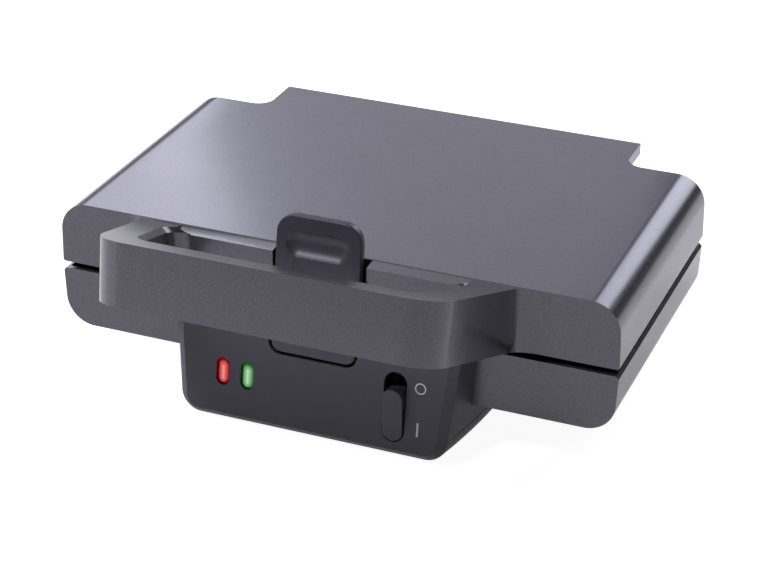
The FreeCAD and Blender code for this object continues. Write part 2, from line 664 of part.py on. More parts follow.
def heat_reflector(label, side):
    """Pressed sheet tray between the element and the shell."""
    low = mirror_level(TRAY_LOW, side)
    tray = new_body(label + "_body")
    half_x, half_y = TRAY_HALF_X, TRAY_HALF_Y
    tall = "(tray_thick + tray_lip)"
    floor = (low, f"{low} + tray_thick") if side < 0 else (f"{low} - tray_thick", low)
    total = (low, f"{low} + {tall}") if side < 0 else (f"{low} - {tall}", low)
    pad(tray, "z", *total, rectangle(f"-{half_x}", half_x, f"{MID} - {half_y}", f"{MID} + {half_y}"))
    dress(tray, "Fillet", "tray_corner", along("z"))
    inner = (floor[1], f"{total[1]} + 1") if side < 0 else (f"{total[0]} - 1", floor[0])
    pocket(tray, "z", *inner,
           rectangle(f"-{half_x} + tray_thick", f"{half_x} - tray_thick",
                     f"{MID} - {half_y} + tray_thick", f"{MID} + {half_y} - tray_thick"))
    holes = []
    for sx in (-1, 1):
        for sy in (-1, 1):
            x, y = tray_screw_place(sx, sy)
            holes.append(("circle", x, y, "small_screw + screw_clear"))
    pocket(tray, "z", f"{floor[0]} - 1", f"{floor[1]} + 1", *holes)
    return node(label, tray)


def reflector_screws(label, side):
    screws = []
    for sx in (-1, 1):
        for sy in (-1, 1):
            x, y = tray_screw_place(sx, sy)
            top = f"({TRAY_LOW} + tray_thick)"
            head_z = top if side < 0 else f"({mirror_level(top, side)} - small_head_height)"
            shank_z = f"({TRAY_LOW} - tray_bite)"
            shank_z = shank_z if side < 0 else mirror_level(f"({TRAY_LOW} + tray_thick)", side)
            head = cylinder("pan_head", "z", x, y, head_z, "small_head", "small_head_height")
            shank = cylinder("pan_shank", "z", x, y, shank_z, "small_screw", "tray_bite + tray_thick")
            screws.append(joined("pan_screw", [head, shank]))
    return node(label, grouped(label, screws))


# ---------------------------------------------------------------- lid
SLOPE = "(handle_rise / handle_reach)"
HANDLE_TIP = f"({FRONT} - handle_reach)"
HANDLE_TOP = f"({LID_TOP} + handle_rise)"
FLARE = "((handle_root - handle_front) / 2 / handle_reach)"


def handle_half(y):
    """Half width of the handle's plan outline at a place y."""
    return f"(handle_root / 2 - {FLARE} * ({FRONT} - ({y})))"


def lid_form():
    """The lid's outer form: box with rounded top sides, rising handle, hinge cover."""
    body = new_body("lid_form_body")
    half, high_half = "(body_width / 2)", "(body_width / 2 - lid_taper)"
    pad(body, "y", FRONT, REAR,
        [(f"-{half}", LID_LOW), (half, LID_LOW), (high_half, LID_TOP), (f"-{high_half}", LID_TOP)])
    low_inner, high_inner = "(body_width / 2 - wall)", "(body_width / 2 - lid_taper - wall)"
    pocket(body, "y", f"{FRONT} + wall", f"{REAR} - wall",
           [(f"-{low_inner}", f"{LID_LOW} - 1"), (low_inner, f"{LID_LOW} - 1"),
            (high_inner, f"{LID_TOP} - wall"), (f"-{high_inner}", f"{LID_TOP} - wall")])
    dress(body, "Fillet", "lid_edge - wall",
          along("y", z=about(f"{LID_TOP} - wall"), abs_x=about(high_inner)))
    dress(body, "Fillet", "lid_edge", along("y", z=about(LID_TOP), abs_x=about(high_half)))
    dress(body, "Chamfer", "lid_bevel", along("y", z=about(LID_LOW, 0.1), abs_x=about(half, 0.1)))
    span = "(handle_root / 2 + 1.3 * handle_cove)"
    foot_y, foot_z = f"({HANDLE_TIP} - handle_lean)", f"({HANDLE_TOP} - handle_face)"
    pad(body, "x", f"-{span}", span,
        [(f"{FRONT} + wall", LID_LOW), (FRONT, LID_LOW), (foot_y, foot_z), (HANDLE_TIP, HANDLE_TOP),
         (FRONT, LID_TOP), (f"{FRONT} + wall", LID_TOP)])
    beyond_y = f"({foot_y} - 5)"
    outside = [(handle_half(FRONT), FRONT), (handle_half(beyond_y), beyond_y),
               (f"{span} + 5", beyond_y), (f"{span} + 5", FRONT)]
    pocket(body, "z", f"{LID_LOW} - 1", f"{HANDLE_TOP} + 5", outside, mirrored(outside))
    root = value_of("handle_root") / 2
    front_y = value_of(FRONT)
    dress(body, "Fillet", "handle_cove",
          lambda e: near(e.CenterOfMass.y, front_y) and near(abs(e.CenterOfMass.x), root)
          and e.BoundBox.ZLength > 5)
    tip = value_of(HANDLE_TIP)
    corner_x = value_of(handle_half(f"({HANDLE_TIP} - handle_lean / 2)"))
    dress(body, "Fillet", "handle_corner",
          lambda e: e.BoundBox.ZLength > 15 and e.CenterOfMass.y < tip
          and near(abs(e.CenterOfMass.x), corner_x, 3) and e.BoundBox.XLength < 5)
    cover_half = "(cover_width / 2)"
    pad(body, "z", f"{LID_TOP} - cover_drop", LID_TOP,
        rectangle(f"-{cover_half}", cover_half, f"{REAR} - 1", f"{REAR} + cover_reach"))
    rear_y, cover_x = value_of(REAR), value_of(cover_half)
    dress(body, "Fillet", "cover_cove",
          lambda e: near(e.CenterOfMass.y, rear_y) and near(abs(e.CenterOfMass.x), cover_x)
          and e.BoundBox.ZLength > 1 and e.BoundBox.YLength < 0.1)
    return body


def handle_ring(name, inset_out, inset_in, back):
    """U-shaped plan between the handle's outline and the finger slot, drawn in by the insets."""
    outer_y = f"({HANDLE_TIP} + {inset_out})"
    inner_y = f"({HANDLE_TIP} + handle_bar - {inset_in})"
    back_y = f"({FRONT} - {back})"
    out_front = f"({handle_half(outer_y)} - {inset_out})"
    out_back = f"({handle_half(back_y)} - {inset_out})"
    in_front = f"({handle_half(inner_y)} - handle_bar + {inset_in})"
    in_back = f"({handle_half(back_y)} - handle_bar + {inset_in})"
    ring = new_body(name)
    pad(ring, "z", f"{LID_LOW} - 5", f"{HANDLE_TOP} + 5",
        [(f"-{out_back}", back_y), (f"-{out_front}", outer_y), (out_front, outer_y), (out_back, back_y),
         (in_back, back_y), (in_front, inner_y), (f"-{in_front}", inner_y), (f"-{in_back}", back_y)])
    outer_front = value_of(outer_y)
    dress(ring, "Fillet", "handle_corner - wall", along("z", y=(outer_front - 0.1, outer_front + 0.1)))
    return ring


UNDER_SLOPE = f"(({HANDLE_TOP} - handle_face - {LID_LOW}) / (handle_reach + handle_lean))"


def under_side(y, lift):
    """Level of the handle's sloping underside at a place y, plus a lift."""
    return f"({LID_LOW} + {UNDER_SLOPE} * ({FRONT} - ({y})) + {lift})"


def slope_slab(name, low_lift, high_level):
    """A wedge across the handle from its underside, raised by a lift, up to a level function."""
    slab = new_body(name)
    back, front = f"({FRONT} - 1)", f"({HANDLE_TIP} - handle_lean - 2)"
    pad(slab, "x", "-handle_root", "handle_root",
        [(back, under_side(back, low_lift)), (front, under_side(front, low_lift)),
         (front, high_level(front)), (back, high_level(back))])
    return slab


def lid_shell():
    form = lid_form()
    slot_back, slot_front = f"({FRONT} - slot_lip)", f"({HANDLE_TIP} + handle_bar)"
    front_half = f"({handle_half(slot_front)} - handle_bar)"
    back_half = f"({handle_half(slot_back)} - handle_bar)"
    pocket(form, "z", f"{LID_LOW} - 1", f"{HANDLE_TOP} + 5",
           [(f"-{back_half}", slot_back), (f"-{front_half}", slot_front),
            (front_half, slot_front), (back_half, slot_back)])
    low_x, high_x = value_of(front_half) - 3, value_of(back_half) + 3
    dress(form, "Fillet", "slot_corner",
          along("z", abs_x=(low_x, high_x),
                y=(value_of(slot_front) - 1, value_of(slot_back) + 1)))
    slope_top = value_of(SLOPE)
    top_z, front_y = value_of(LID_TOP), value_of(FRONT)
    slot_y = (value_of(slot_front) - 0.3, value_of(slot_back) + 0.3)
    dress(form, "Chamfer", "slot_bevel",
          lambda e: slot_y[0] < e.CenterOfMass.y < slot_y[1] and abs(e.CenterOfMass.x) < high_x
          and near(e.CenterOfMass.z, top_z + slope_top * (front_y - e.CenterOfMass.y), 0.6))
    scoop_low = f"({LID_TOP} + {SLOPE} * slot_lip)"
    scoop_high = f"({LID_TOP} + {SLOPE} * (slot_lip - scoop_reach))"
    pocket(form, "x", f"-{back_half} + slot_bevel", f"{back_half} - slot_bevel",
           [(slot_back, f"{scoop_low} - scoop_fall"), (f"{slot_back} + scoop_reach", scoop_high),
            (f"{slot_back} + scoop_reach", f"{scoop_low} + 1"), (slot_back, f"{scoop_low} + 1")])
    pocket(form, "z", f"{LID_LOW} - 1", f"{HANDLE_TOP} + 5",
           rectangle(f"-{NOTCH_HALF}", NOTCH_HALF, f"{slot_back} - 1", f"{FRONT} - notch_lip"))
    pocket(form, "y", f"{FRONT} - notch_lip - 1", f"{FRONT} + wall + 1",
           rectangle("-window_half", "window_half", f"{LID_LOW} + window_low", WINDOW_TOP))
    cover_low = f"{LID_TOP} - cover_drop"
    pocket(form, "z", f"{cover_low} - 1", f"{LID_TOP} - wall",
           rectangle("-cover_width / 2 + wall", "cover_width / 2 - wall", f"{REAR} + 0.01",
                     f"{REAR} + cover_reach - wall"))
    for sx in (-1, 1):
        for sy in (-1, 1):
            x, y = plate_screw_place(sx, sy)
            low = f"({PARTING} + plate_gap / 2 + plate_thick)"
            pad(form, "z", low, f"{LID_TOP} - wall / 2", ("circle", x, y, "post_radius"))
            pocket(form, "z", f"{low} - 1", f"{PARTING} + plate_gap / 2 + screw_length + 2",
                   ("circle", x, y, "screw_radius + screw_clear"))
            x, y = tray_screw_place(sx, sy)
            low = mirror_level(TRAY_LOW, 1)
            pad(form, "z", low, f"{LID_TOP} - wall / 2", ("circle", x, y, "stand_radius"))
            pocket(form, "z", f"{low} - 1", f"{low} + tray_bite + 1",
                   ("circle", x, y, "small_screw + screw_clear"))
    plan = handle_ring("handle_hollow_plan", "wall", "wall", "2")
    side = slope_slab("handle_hollow_side", "-5",
                      lambda y: f"({LID_TOP} + {SLOPE} * ({FRONT} - ({y})) - wall - slot_bevel)")
    return node("lid_shell", less("lid_shell", form, shared("handle_hollow", plan, side)))


def handle_cover():
    """Cover that closes the hollow handle from below, flush with its underside."""
    plan = handle_ring("handle_cover_plan", "(wall + handle_cover_gap)",
                       "(wall + handle_cover_gap)", "(2 + handle_cover_gap)")
    side = slope_slab("handle_cover_side", "0", lambda y: under_side(y, "2"))
    return node("handle_cover", shared("handle_cover", plan, side))


def hinge_arms():
    """Two arms screwed to the lid's rear wall that turn on the hinge pins."""
    arms = []
    for sign in (-1, 1):
        near_x = "(ear_at - hinge_side_gap)"
        low, high = f"{near_x} - arm_width", near_x
        if sign < 0:
            low, high = f"-1 * {near_x}", f"-1 * {near_x} + arm_width"
        arm = new_body("hinge_arm")
        pad(arm, "x", low, high,
            [(f"{REAR} + joint_gap", f"{LID_LOW} + 1"), (f"{HINGE_Y} - knuckle * 0.5", PARTING),
             (f"{HINGE_Y} + knuckle * 0.9", f"{PARTING} + knuckle * 0.4"),
             (f"{REAR} + 4", f"{PARTING} + arm_rise"), (f"{REAR} + joint_gap", f"{PARTING} + arm_rise")])
        pad(arm, "x", low, high, ("circle", HINGE_Y, PARTING, "knuckle"))
        pocket(arm, "x", f"{low} - 1", f"{high} + 1",
               ("circle", HINGE_Y, PARTING, "hinge_pin + running"))
        arms.append(arm)
    return node("lid_hinge_arms", grouped("lid_hinge_arms", arms))


def hinge_pins():
    pins = []
    for sign in (-1, 1):
        length = "(ear_width + hinge_side_gap + arm_width)"
        start = "(ear_at - hinge_side_gap - arm_width)"
        start = start if sign > 0 else "-1 * (ear_at + ear_width)"
        pins.append(cylinder("pin", "x", start, HINGE_Y, PARTING, "hinge_pin", length))
    return node("hinge_pins", grouped("hinge_pins", pins))


# ---------------------------------------------------------------- pedestal and console
def console_placement():
    """The console's own frame: y is 0 in its face and grows inwards, z is 0 at its foot."""
    height = value_of("base_height + pedestal_drop")
    angle = math.degrees(math.atan2(value_of("console_lean"), height))
    foot = FreeCAD.Vector(0, value_of(CONSOLE_FOOT), value_of(FOOT))
    return FreeCAD.Placement(foot, FreeCAD.Rotation(FreeCAD.Vector(1, 0, 0), -angle))


def console_frame(item):
    """Put a piece that is drawn in the console's own frame into place."""
    item.Placement = console_placement()
    return item


def bowed_side(sign, inset):
    """Large cone whose flank is one side of the pedestal: bowed in plan, leaning out upwards."""
    height = "(base_height + pedestal_drop)"
    lean = f"((pedestal_top - pedestal_low) / {height})"
    cone = doc.addObject("Part::Cone", "bowed_side")
    cone.setExpression("Radius1", bound(f"{BOW_RADIUS} - {inset} - {lean}"))
    cone.setExpression("Radius2", bound(f"{BOW_RADIUS} - {inset} + {lean} * ({height} + 1)"))
    cone.setExpression("Height", bound(f"{height} + 2"))
    place(cone, f"{sign} * (pedestal_low + pedestal_bow - {BOW_RADIUS})",
          f"{CONSOLE_FOOT} + {SPAN_RUN}", f"{FOOT} - 1")
    return cone


def console_face(z, inset):
    """Where the console's face lies at a level z."""
    lean = "console_lean / (base_height + pedestal_drop)"
    return f"({CONSOLE_FOOT} + {lean} * (({z}) - {FOOT}) + {inset})"


def pedestal_form(name, inset):
    """Outer form of the pedestal, or with an inset the room inside it."""
    block = new_body(name + "_block")
    top, low = f"({BASE_TOP} - {inset})", f"({FOOT} + {inset})"
    shelf = f"({BASE_LOW} - {inset})"
    step = f"({FRONT} - joint_gap - {inset})"
    rear = f"({PEDESTAL_REAR} - {inset})"
    wide = "(pedestal_top + pedestal_bow)"
    pad(block, "x", f"-{wide}", wide,
        [(console_face(low, inset), low), (rear, low), (rear, shelf), (step, shelf), (step, top),
         (console_face(top, inset), top)])
    right = shared(name + "_right", block, bowed_side(1, inset))
    body = new_body(name)
    body.BaseFeature = shared(name + "_sides", right, bowed_side(-1, inset))
    doc.recompute()
    low_z = value_of(low)
    dress(body, "Fillet", f"console_edge - {inset}",
          lambda e: near(e.CenterOfMass.z, low_z) and e.BoundBox.YLength > 50
          and abs(e.CenterOfMass.x) > 20)
    if inset == "0":
        face_foot = value_of(console_face(low, inset))
        slope = value_of("console_lean / (base_height + pedestal_drop)")

        def on_face_side(edge):
            centre = edge.CenterOfMass
            on_face = near(centre.y, face_foot + slope * (centre.z - low_z), 0.3)
            return on_face and not near(centre.z, value_of(top), 0.5) and edge.BoundBox.YLength < 10
        dress(body, "Chamfer", "console_bevel", on_face_side)
    return body


def pill(name, x, z, width, height, near_y, far_y):
    """A bar of pill-shaped section, square to the console's face."""
    bar = new_body(name)
    pad(bar, "y", near_y, far_y,
        rectangle(f"{x} - ({width}) / 2", f"{x} + ({width}) / 2",
                  f"{z} - ({height}) / 2", f"{z} + ({height}) / 2"))
    dress(bar, "Fillet", f"({width}) * {ROUND}", along("y"))
    return bar


def latch_opening():
    """U-shaped opening in the console that the latch lies in, open at the top."""
    tool = new_body("latch_opening")
    half = "(latch_half + latch_gap)"
    pad(tool, "y", "-10", "wall + 4",
        rectangle(f"-{half}", half, f"{LATCH_FOOT} - latch_gap", LATCH_HEAD))
    foot = value_of(f"{LATCH_FOOT} - latch_gap")
    dress(tool, "Fillet", "latch_foot_corner + latch_gap", along("y", z=(foot - 1, foot + 1)))
    return tool


def seam_box(extra):
    """The room of the bottom cover, with a gap round it for the seam."""
    wide = "(pedestal_top + pedestal_bow + 5)"
    return box("cover_room", (f"-{wide}", wide),
               (f"{CONSOLE_FOOT} + skirt - {extra}", f"{PEDESTAL_REAR} + 5"),
               (f"{FOOT} - 1", f"{SEAM} + {extra}"))


def cover_posts():
    """Middles of the four screw posts of the bottom cover."""
    across = "(pedestal_low - console_edge - post_side)"
    front, rear = f"({CONSOLE_FOOT} + skirt + post_front)", f"({PEDESTAL_REAR} - post_rear)"
    return [(f"{sx} * {across}", y) for sx in (-1, 1) for y in (front, rear)]


def console_housing():
    """Pedestal housing with the console face; its floor is the bottom cover."""
    shell = less("pedestal_hollow", pedestal_form("pedestal_outer", "0"),
                 pedestal_form("pedestal_inner", "wall"))
    tools = [seam_box("seam_gap"), console_frame(latch_opening()), inlet_hole()]
    for name, x in (("red_hole", "red_lens_at"), ("green_hole", "green_lens_at")):
        tools.append(console_frame(pill(name, x, "lens_level", "lens_width + 2 * lens_gap",
                                        "lens_height + 2 * lens_gap", "-5", "wall + 3")))
    tools.append(console_frame(pill("switch_hole", "switch_at", "lens_level", "switch_opening_width",
                                    "switch_opening_height", "-5", "wall + 3")))
    tools.append(box("wire_way", ("-way_half + way_step", "way_half - way_step"),
                     (f"{FRONT} + way_inset + way_step", f"{REAR} - way_inset - way_step"),
                     (f"{BASE_LOW} - wall - 1", f"{BASE_LOW} + 1")))
    lugs = []
    for sign in (-1, 1):
        inner = "(latch_half + latch_gap)"
        span = (inner, f"{inner} + latch_lug") if sign > 0 else (f"-{inner} - latch_lug", f"-{inner}")
        lug = new_body("lug")
        inside, back = "wall - joint_gap", "latch_axis_back + lug_back"
        low, high = f"{LATCH_AXIS} - lug_low", f"{LATCH_AXIS} + lug_high"
        pad(lug, "x", *span, [(inside, low), (back, low), (back, high), (inside, high)])
        lugs.append(console_frame(lug))
    posts, bores = [], []
    floor = f"({FOOT} + wall + joint_gap)"
    for x, y in cover_posts():
        posts.append(cylinder("cover_post", "z", x, y, floor, "stand_radius",
                              f"{BASE_LOW} - wall / 2 - {floor}"))
        bores.append(cylinder("cover_bore", "z", x, y, f"{floor} - 1", "small_screw + screw_clear",
                              "cover_screw"))
    solid = joined("console_solid", [less("console_open", shell, joined("console_tools", tools))]
                   + lugs + posts)
    reach = "(latch_half + latch_gap + latch_lug + 1)"
    pin_way = latch_bar("latch_pin_way", f"-{reach}", "latch_pin_radius + pressed", f"2 * {reach}")
    return node("console_housing", less("console_housing", solid, joined("bores", bores + [pin_way])))


def on_latch_axis(item, x):
    """Lay a piece that is drawn along Z along the latch axis, from a place x across."""
    start = FreeCAD.Vector(value_of(x), value_of("latch_axis_back"), value_of(LATCH_AXIS))
    across = FreeCAD.Placement(start, FreeCAD.Rotation(FreeCAD.Vector(0, 1, 0), 90))
    item.Placement = console_placement().multiply(across)
    return item


def latch_bar(name, x, radius, length):
    """A round bar on the latch axis."""
    item = doc.addObject("Part::Cylinder", name)
    item.setExpression("Radius", bound(radius))
    item.setExpression("Height", bound(length))
    return on_latch_axis(item, x)


def inlet_hole():
    return cylinder("inlet_hole", "y", "inlet_at", f"{PEDESTAL_REAR} - wall - 2", "inlet_level",
                    "inlet_bore + inlet_wall + joint_gap", "wall + 6")


def cord_inlet_bush():
    """Rubber bush that lines the hole where a supply cord would enter."""
    start = f"{PEDESTAL_REAR} - wall - flange_thick"
    sleeve = cylinder("bush_sleeve", "y", "inlet_at", start, "inlet_level", "inlet_bore + inlet_wall",
                      "wall + 2 * flange_thick")
    inner = cylinder("bush_inner", "y", "inlet_at", start, "inlet_level", "inlet_flange",
                     "flange_thick")
    outer = cylinder("bush_outer", "y", "inlet_at", PEDESTAL_REAR, "inlet_level", "inlet_flange",
                     "flange_thick")
    bore = cylinder("bush_bore", "y", "inlet_at", f"{start} - 1", "inlet_level", "inlet_bore",
                    "wall + 2 * flange_thick + 2")
    blank = joined("bush_blank", [sleeve, inner, outer])
    return node("cord_inlet_bush", less("cord_inlet_bush", blank, bore))


def foot_places():
    front = f"({CONSOLE_FOOT} + skirt + foot_front)"
    rear = f"({PEDESTAL_REAR} - post_rear - foot_step)"
    across = "(pedestal_low - console_edge - post_side - foot_step)"
    return [(f"{sx} * {across}", y) for sx in (-1, 1) for y in (front, rear)]


def bottom_cover():
    """Tray below the pedestal, open to the console in front, with foot recesses and screw holes."""
    form = shared("cover_form", pedestal_form("cover_outer", "0"), seam_box("0"))
    room = box("cover_reach", ("-pedestal_top - pedestal_bow", "pedestal_top + pedestal_bow"),
               (f"{CONSOLE_FOOT} + skirt - 1", PEDESTAL_REAR), (FOOT, BASE_LOW))
    tools = [shared("cover_inside", pedestal_form("cover_inner", "wall"), room), inlet_hole()]
    for x, y in foot_places():
        tools.append(cylinder("foot_recess", "z", x, y, f"{FOOT} - 1", "foot_radius + joint_gap",
                              "foot_recess + 1"))
    for x, y in cover_posts():
        tools.append(cylinder("cover_hole", "z", x, y, f"{FOOT} - 1", "small_screw + screw_clear",
                              "wall + 2"))
        tools.append(cylinder("cover_sink", "z", x, y, f"{FOOT} - 1", "small_head + screw_clear",
                              "cover_head + head_sunk + 1"))
    return node("bottom_cover", less("bottom_cover", form, joined("cover_tools", tools)))


def cover_screws():
    screws = []
    for x, y in cover_posts():
        level = f"{FOOT} + head_sunk"
        head = cylinder("cover_head", "z", x, y, level, "small_head", "cover_head")
        shank = cylinder("cover_shank", "z", x, y, level, "small_screw", "cover_screw")
        screws.append(joined("cover_screw", [head, shank]))
    return node("bottom_cover_screws", grouped("bottom_cover_screws", screws))


def rubber_feet():
    feet = []
    for x, y in foot_places():
        feet.append(cylinder("foot", "z", x, y, "0", "foot_radius", "foot_height + foot_recess"))
    return node("rubber_feet", grouped("rubber_feet", feet))


# ---------------------------------------------------------------- controls
LENS_BACK = "(wall + joint_gap + flange_depth)"


def pilot_lens(label, x):
    """Coloured lens: a pill with a wide bevel round a flat, held by a flange behind the panel."""
    lens = new_body(label + "_body")
    pad(lens, "y", "lens_sunk", LENS_BACK,
        rectangle(f"{x} - lens_width / 2", f"{x} + lens_width / 2",
                  "lens_level - lens_height / 2", "lens_level + lens_height / 2"))
    dress(lens, "Fillet", f"lens_width * {ROUND}", along("y"))
    flat = value_of("lens_sunk")
    dress(lens, "Chamfer", "lens_bevel", lambda e: near(e.CenterOfMass.y, flat, 0.01))
    half_x, half_z = "(lens_width / 2 + lens_flange)", "(lens_height / 2 + lens_flange)"
    pad(lens, "y", "wall + joint_gap", LENS_BACK,
        rectangle(f"{x} - {half_x}", f"{x} + {half_x}",
                  f"lens_level - {half_z}", f"lens_level + {half_z}"))
    return node(label, console_frame(lens))


def pilot_lamps():
    lamps = []
    start = f"{LENS_BACK} + lamp_gap"
    for x in ("red_lens_at", "green_lens_at"):
        lamp = new_body("lamp")
        pad(lamp, "y", start, f"{start} + lamp_length", ("circle", x, "lens_level", "lamp_radius"))
        dress(lamp, "Fillet", "lamp_radius / 2", lambda e: e.BoundBox.YLength < 0.01)
        lamps.append(console_frame(lamp))
    return node("pilot_lamps", grouped("pilot_lamps", lamps))


def switch_body():
    """Moulded switch body behind the panel, with bearings for the rocker's stub axles."""
    case = new_body("switch_case")
    half_x = "(switch_opening_width / 2 + switch_wall)"
    half_z = "(switch_opening_height / 2 + switch_wall)"
    pad(case, "y", "wall + joint_gap", "wall + switch_depth",
        rectangle(f"switch_at - {half_x}", f"switch_at + {half_x}",
                  f"lens_level - {half_z}", f"lens_level + {half_z}"))
    pocket(case, "y", "wall", "wall + switch_depth - switch_wall",
           rectangle("switch_at - switch_opening_width / 2", "switch_at + switch_opening_width / 2",
                     "lens_level - switch_opening_height / 2", "lens_level + switch_opening_height / 2"))
    pocket(case, "x", f"switch_at - {half_x} - 1", f"switch_at + {half_x} + 1",
           ("circle", "rocker_axle", "lens_level", "rocker_pin + running"))
    for step in (-1, 0, 1):
        level = f"lens_level + {step} * blade_pitch"
        pad(case, "y", "wall + switch_depth - switch_wall / 2", "wall + switch_depth + blade_length",
            rectangle("switch_at - blade_half", "switch_at + blade_half",
                      f"{level} - blade_thick / 2", f"{level} + blade_thick / 2"))
    return node("switch_body", console_frame(case))


def rocker():
    """Rocker of the power switch: a short rounded paddle that lies tipped, upper end out."""
    paddle = new_body("rocker_paddle")
    front = "(-1 * rocker_axle)"
    half_z = "((rocker_drop + rocker_rise) / 2)"
    middle = "((rocker_rise - rocker_drop) / 2)"
    pad(paddle, "x", "-rocker_width / 2", "rocker_width / 2",
        [("rocker_back", "-rocker_drop / 2"), (f"{front} / 2", "-rocker_drop"),
         (f"{front} - rocker_flush", "-rocker_drop"), (f"{front} - rocker_proud", "rocker_rise"),
         (f"{front} / 2", "rocker_rise - 1"), ("rocker_back", "rocker_rise - 2")])
    outline = pill("rocker_outline", "0", middle, "rocker_width", f"2 * {half_z}",
                   f"{front} - rocker_proud - 1", "rocker_back + 1")
    bearing = "(switch_opening_width / 2 + switch_wall * 3 / 4)"
    axle = cylinder("rocker_axle_pin", "x", f"-{bearing}", "0", "0", "rocker_pin", f"2 * {bearing}")
    key = joined("rocker", [shared("rocker_round", paddle, outline), axle])
    place_in = FreeCAD.Vector(value_of("switch_at"), value_of("rocker_axle"), value_of("lens_level"))
    key.Placement = console_placement().multiply(FreeCAD.Placement(place_in, FreeCAD.Rotation()))
    return node("rocker", key)


def thumb_dimple():
    """A long round-ended scoop that cuts the thumb dimple out of the lever's face."""
    radius = "((dimple_height / 2)^2 + dimple_depth^2) / (2 * dimple_depth)"
    away = f"(dimple_depth - {radius})"
    half = "((dimple_width - dimple_height) / 2)"
    scoops = [cylinder("scoop", "x", f"-{half}", away, DIMPLE_LEVEL, radius, f"2 * {half}")]
    for sign in (-1, 1):
        ball = doc.addObject("Part::Sphere", "scoop_end")
        ball.setExpression("Radius", bound(radius))
        place(ball, f"{sign} * {half}", away, DIMPLE_LEVEL)
        scoops.append(ball)
    return joined("thumb_dimple", scoops)


def latch_lever():
    """Flat latch lever with a thumb dimple, a hinge barrel and a hook on its back."""
    lever = new_body("latch_body")
    pad(lever, "y", "0", "latch_thick", rectangle("-latch_half", "latch_half", LATCH_FOOT, LATCH_HEAD))
    head, foot = value_of(LATCH_HEAD), value_of(LATCH_FOOT)
    dress(lever, "Fillet", "latch_head_corner", along("y", z=(head - 1, head + 1)))
    dress(lever, "Fillet", "latch_foot_corner", along("y", z=(foot - 1, foot + 1)))
    dress(lever, "Fillet", "latch_round", lambda e: near(e.CenterOfMass.y, 0, 0.01))
    end = "(latch_half - barrel_inset)"
    inside = "latch_thick - 1"
    pad(lever, "x", f"-{end}", end,
        [(inside, f"{LATCH_AXIS} - latch_barrel"), ("latch_axis_back", f"{LATCH_AXIS} - latch_barrel"),
         ("latch_axis_back", f"{LATCH_AXIS} + latch_barrel"), (inside, f"{LATCH_AXIS} + latch_barrel")])
    pad(lever, "x", f"-{end}", end, ("circle", "latch_axis_back", LATCH_AXIS, "latch_barrel"))
    pocket(lever, "x", "-latch_half - 1", "latch_half + 1",
           ("circle", "latch_axis_back", LATCH_AXIS, "latch_pin_radius + running"))
    pocket(lever, "x", "-spring_half", "spring_half",
           rectangle("latch_thick", "latch_axis_back + latch_barrel + 1",
                     f"{LATCH_AXIS} - latch_barrel - 1", f"{LATCH_AXIS} + latch_barrel + 1"))
    pad(lever, "x", "-hook_half", "hook_half",
        [(inside, f"{HOOK_LOW} - hook_ramp"), (HOOK_REACH, HOOK_LOW), (HOOK_REACH, HOOK_HIGH),
         (inside, HOOK_HIGH)])
    return node("latch_lever", console_frame(less("latch_lever", lever, thumb_dimple())))


def latch_pin():
    reach = "(latch_half + latch_gap + latch_lug)"
    return node("latch_pin", latch_bar("latch_pin", f"-{reach}", "latch_pin_radius", f"2 * {reach}"))


def latch_spring():
    """Torsion spring wound round the latch pin, in the gap of the latch barrel."""
    turns = 6
    wire = value_of("spring_wire")
    radius = value_of("latch_pin_radius + spring_wire + spring_clear")
    half = value_of("spring_half - spring_wire - spring_clear / 5")
    helix = Part.makeHelix(2 * half / turns, 2 * half, radius)
    ring = Part.Wire([Part.makeCircle(wire, FreeCAD.Vector(radius, 0, 0), FreeCAD.Vector(0, 1, 0))])
    item = doc.addObject("Part::Feature", "latch_spring")
    item.Shape = Part.Wire(helix.Edges).makePipeShell([ring], True, True)
    return node("latch_spring", on_latch_axis(item, f"-{half}"))


# ---------------------------------------------------------------- electrics
def small_electrics():
    back = f"({PARTING} - plate_gap / 2 - plate_thick)"
    disc = cylinder("thermostat_disc", "z", "0", MID, f"{back} - thermostat_height - joint_gap",
                    "thermostat_radius", "thermostat_height")
    tab_top = f"{back} - thermostat_height"
    tab = box("thermostat_tab", ("-tab_half", "tab_half"), (f"{MID} - tab_half", f"{MID} + tab_half"),
              (f"{tab_top} - tab_drop", tab_top))
    node("thermostat", joined("thermostat", [disc, tab]))
    for label, side in (("base_thermal_fuse", -1), ("lid_thermal_fuse", 1)):
        z = mirror_level(f"({back} - fuse_radius - joint_gap)", side)
        node(label, cylinder(label, "y", RING_PITCH, f"{MID} - fuse_length / 2", z, "fuse_radius",
                             "fuse_length"))
    block_y = f"({PEDESTAL_REAR} - wall - block_back)"
    block_z = f"({FOOT} + wall + block_lift)"
    block = box("block", ("inlet_at - block_length / 2", "inlet_at + block_length / 2"),
                (f"{block_y} - block_width", block_y), (block_z, f"{block_z} + block_height"))
    ways = [cylinder("way", "y", f"inlet_at + {k} * block_pitch", f"{block_y} - block_width - 1",
                     f"{block_z} + block_height / 2", "wire_radius + way_clear", "block_width + 2")
            for k in (-1, 0, 1)]
    node("terminal_block", less("terminal_block", block, joined("ways", ways)))
    level = f"({block_z} + block_height / 2)"
    front = f"({block_y} - block_width - wire_end)"
    lamp_y, lamp_x = f"({CONSOLE_FOOT} + lamp_wire_at)", "(inlet_at - block_pitch)"
    switch_y = f"({CONSOLE_FOOT} + switch_wire_at)"
    wires = [
        bent_tube("switch_wire", [("inlet_at", front), ("inlet_at", switch_y)],
                  level, "wire_radius", "wire_bend"),
        bent_tube("lamp_wire", [(lamp_x, front), (lamp_x, lamp_y), ("red_lens_at", lamp_y)],
                  level, "wire_radius", "wire_bend"),
    ]
    node("internal_wiring", grouped("internal_wiring", wires))


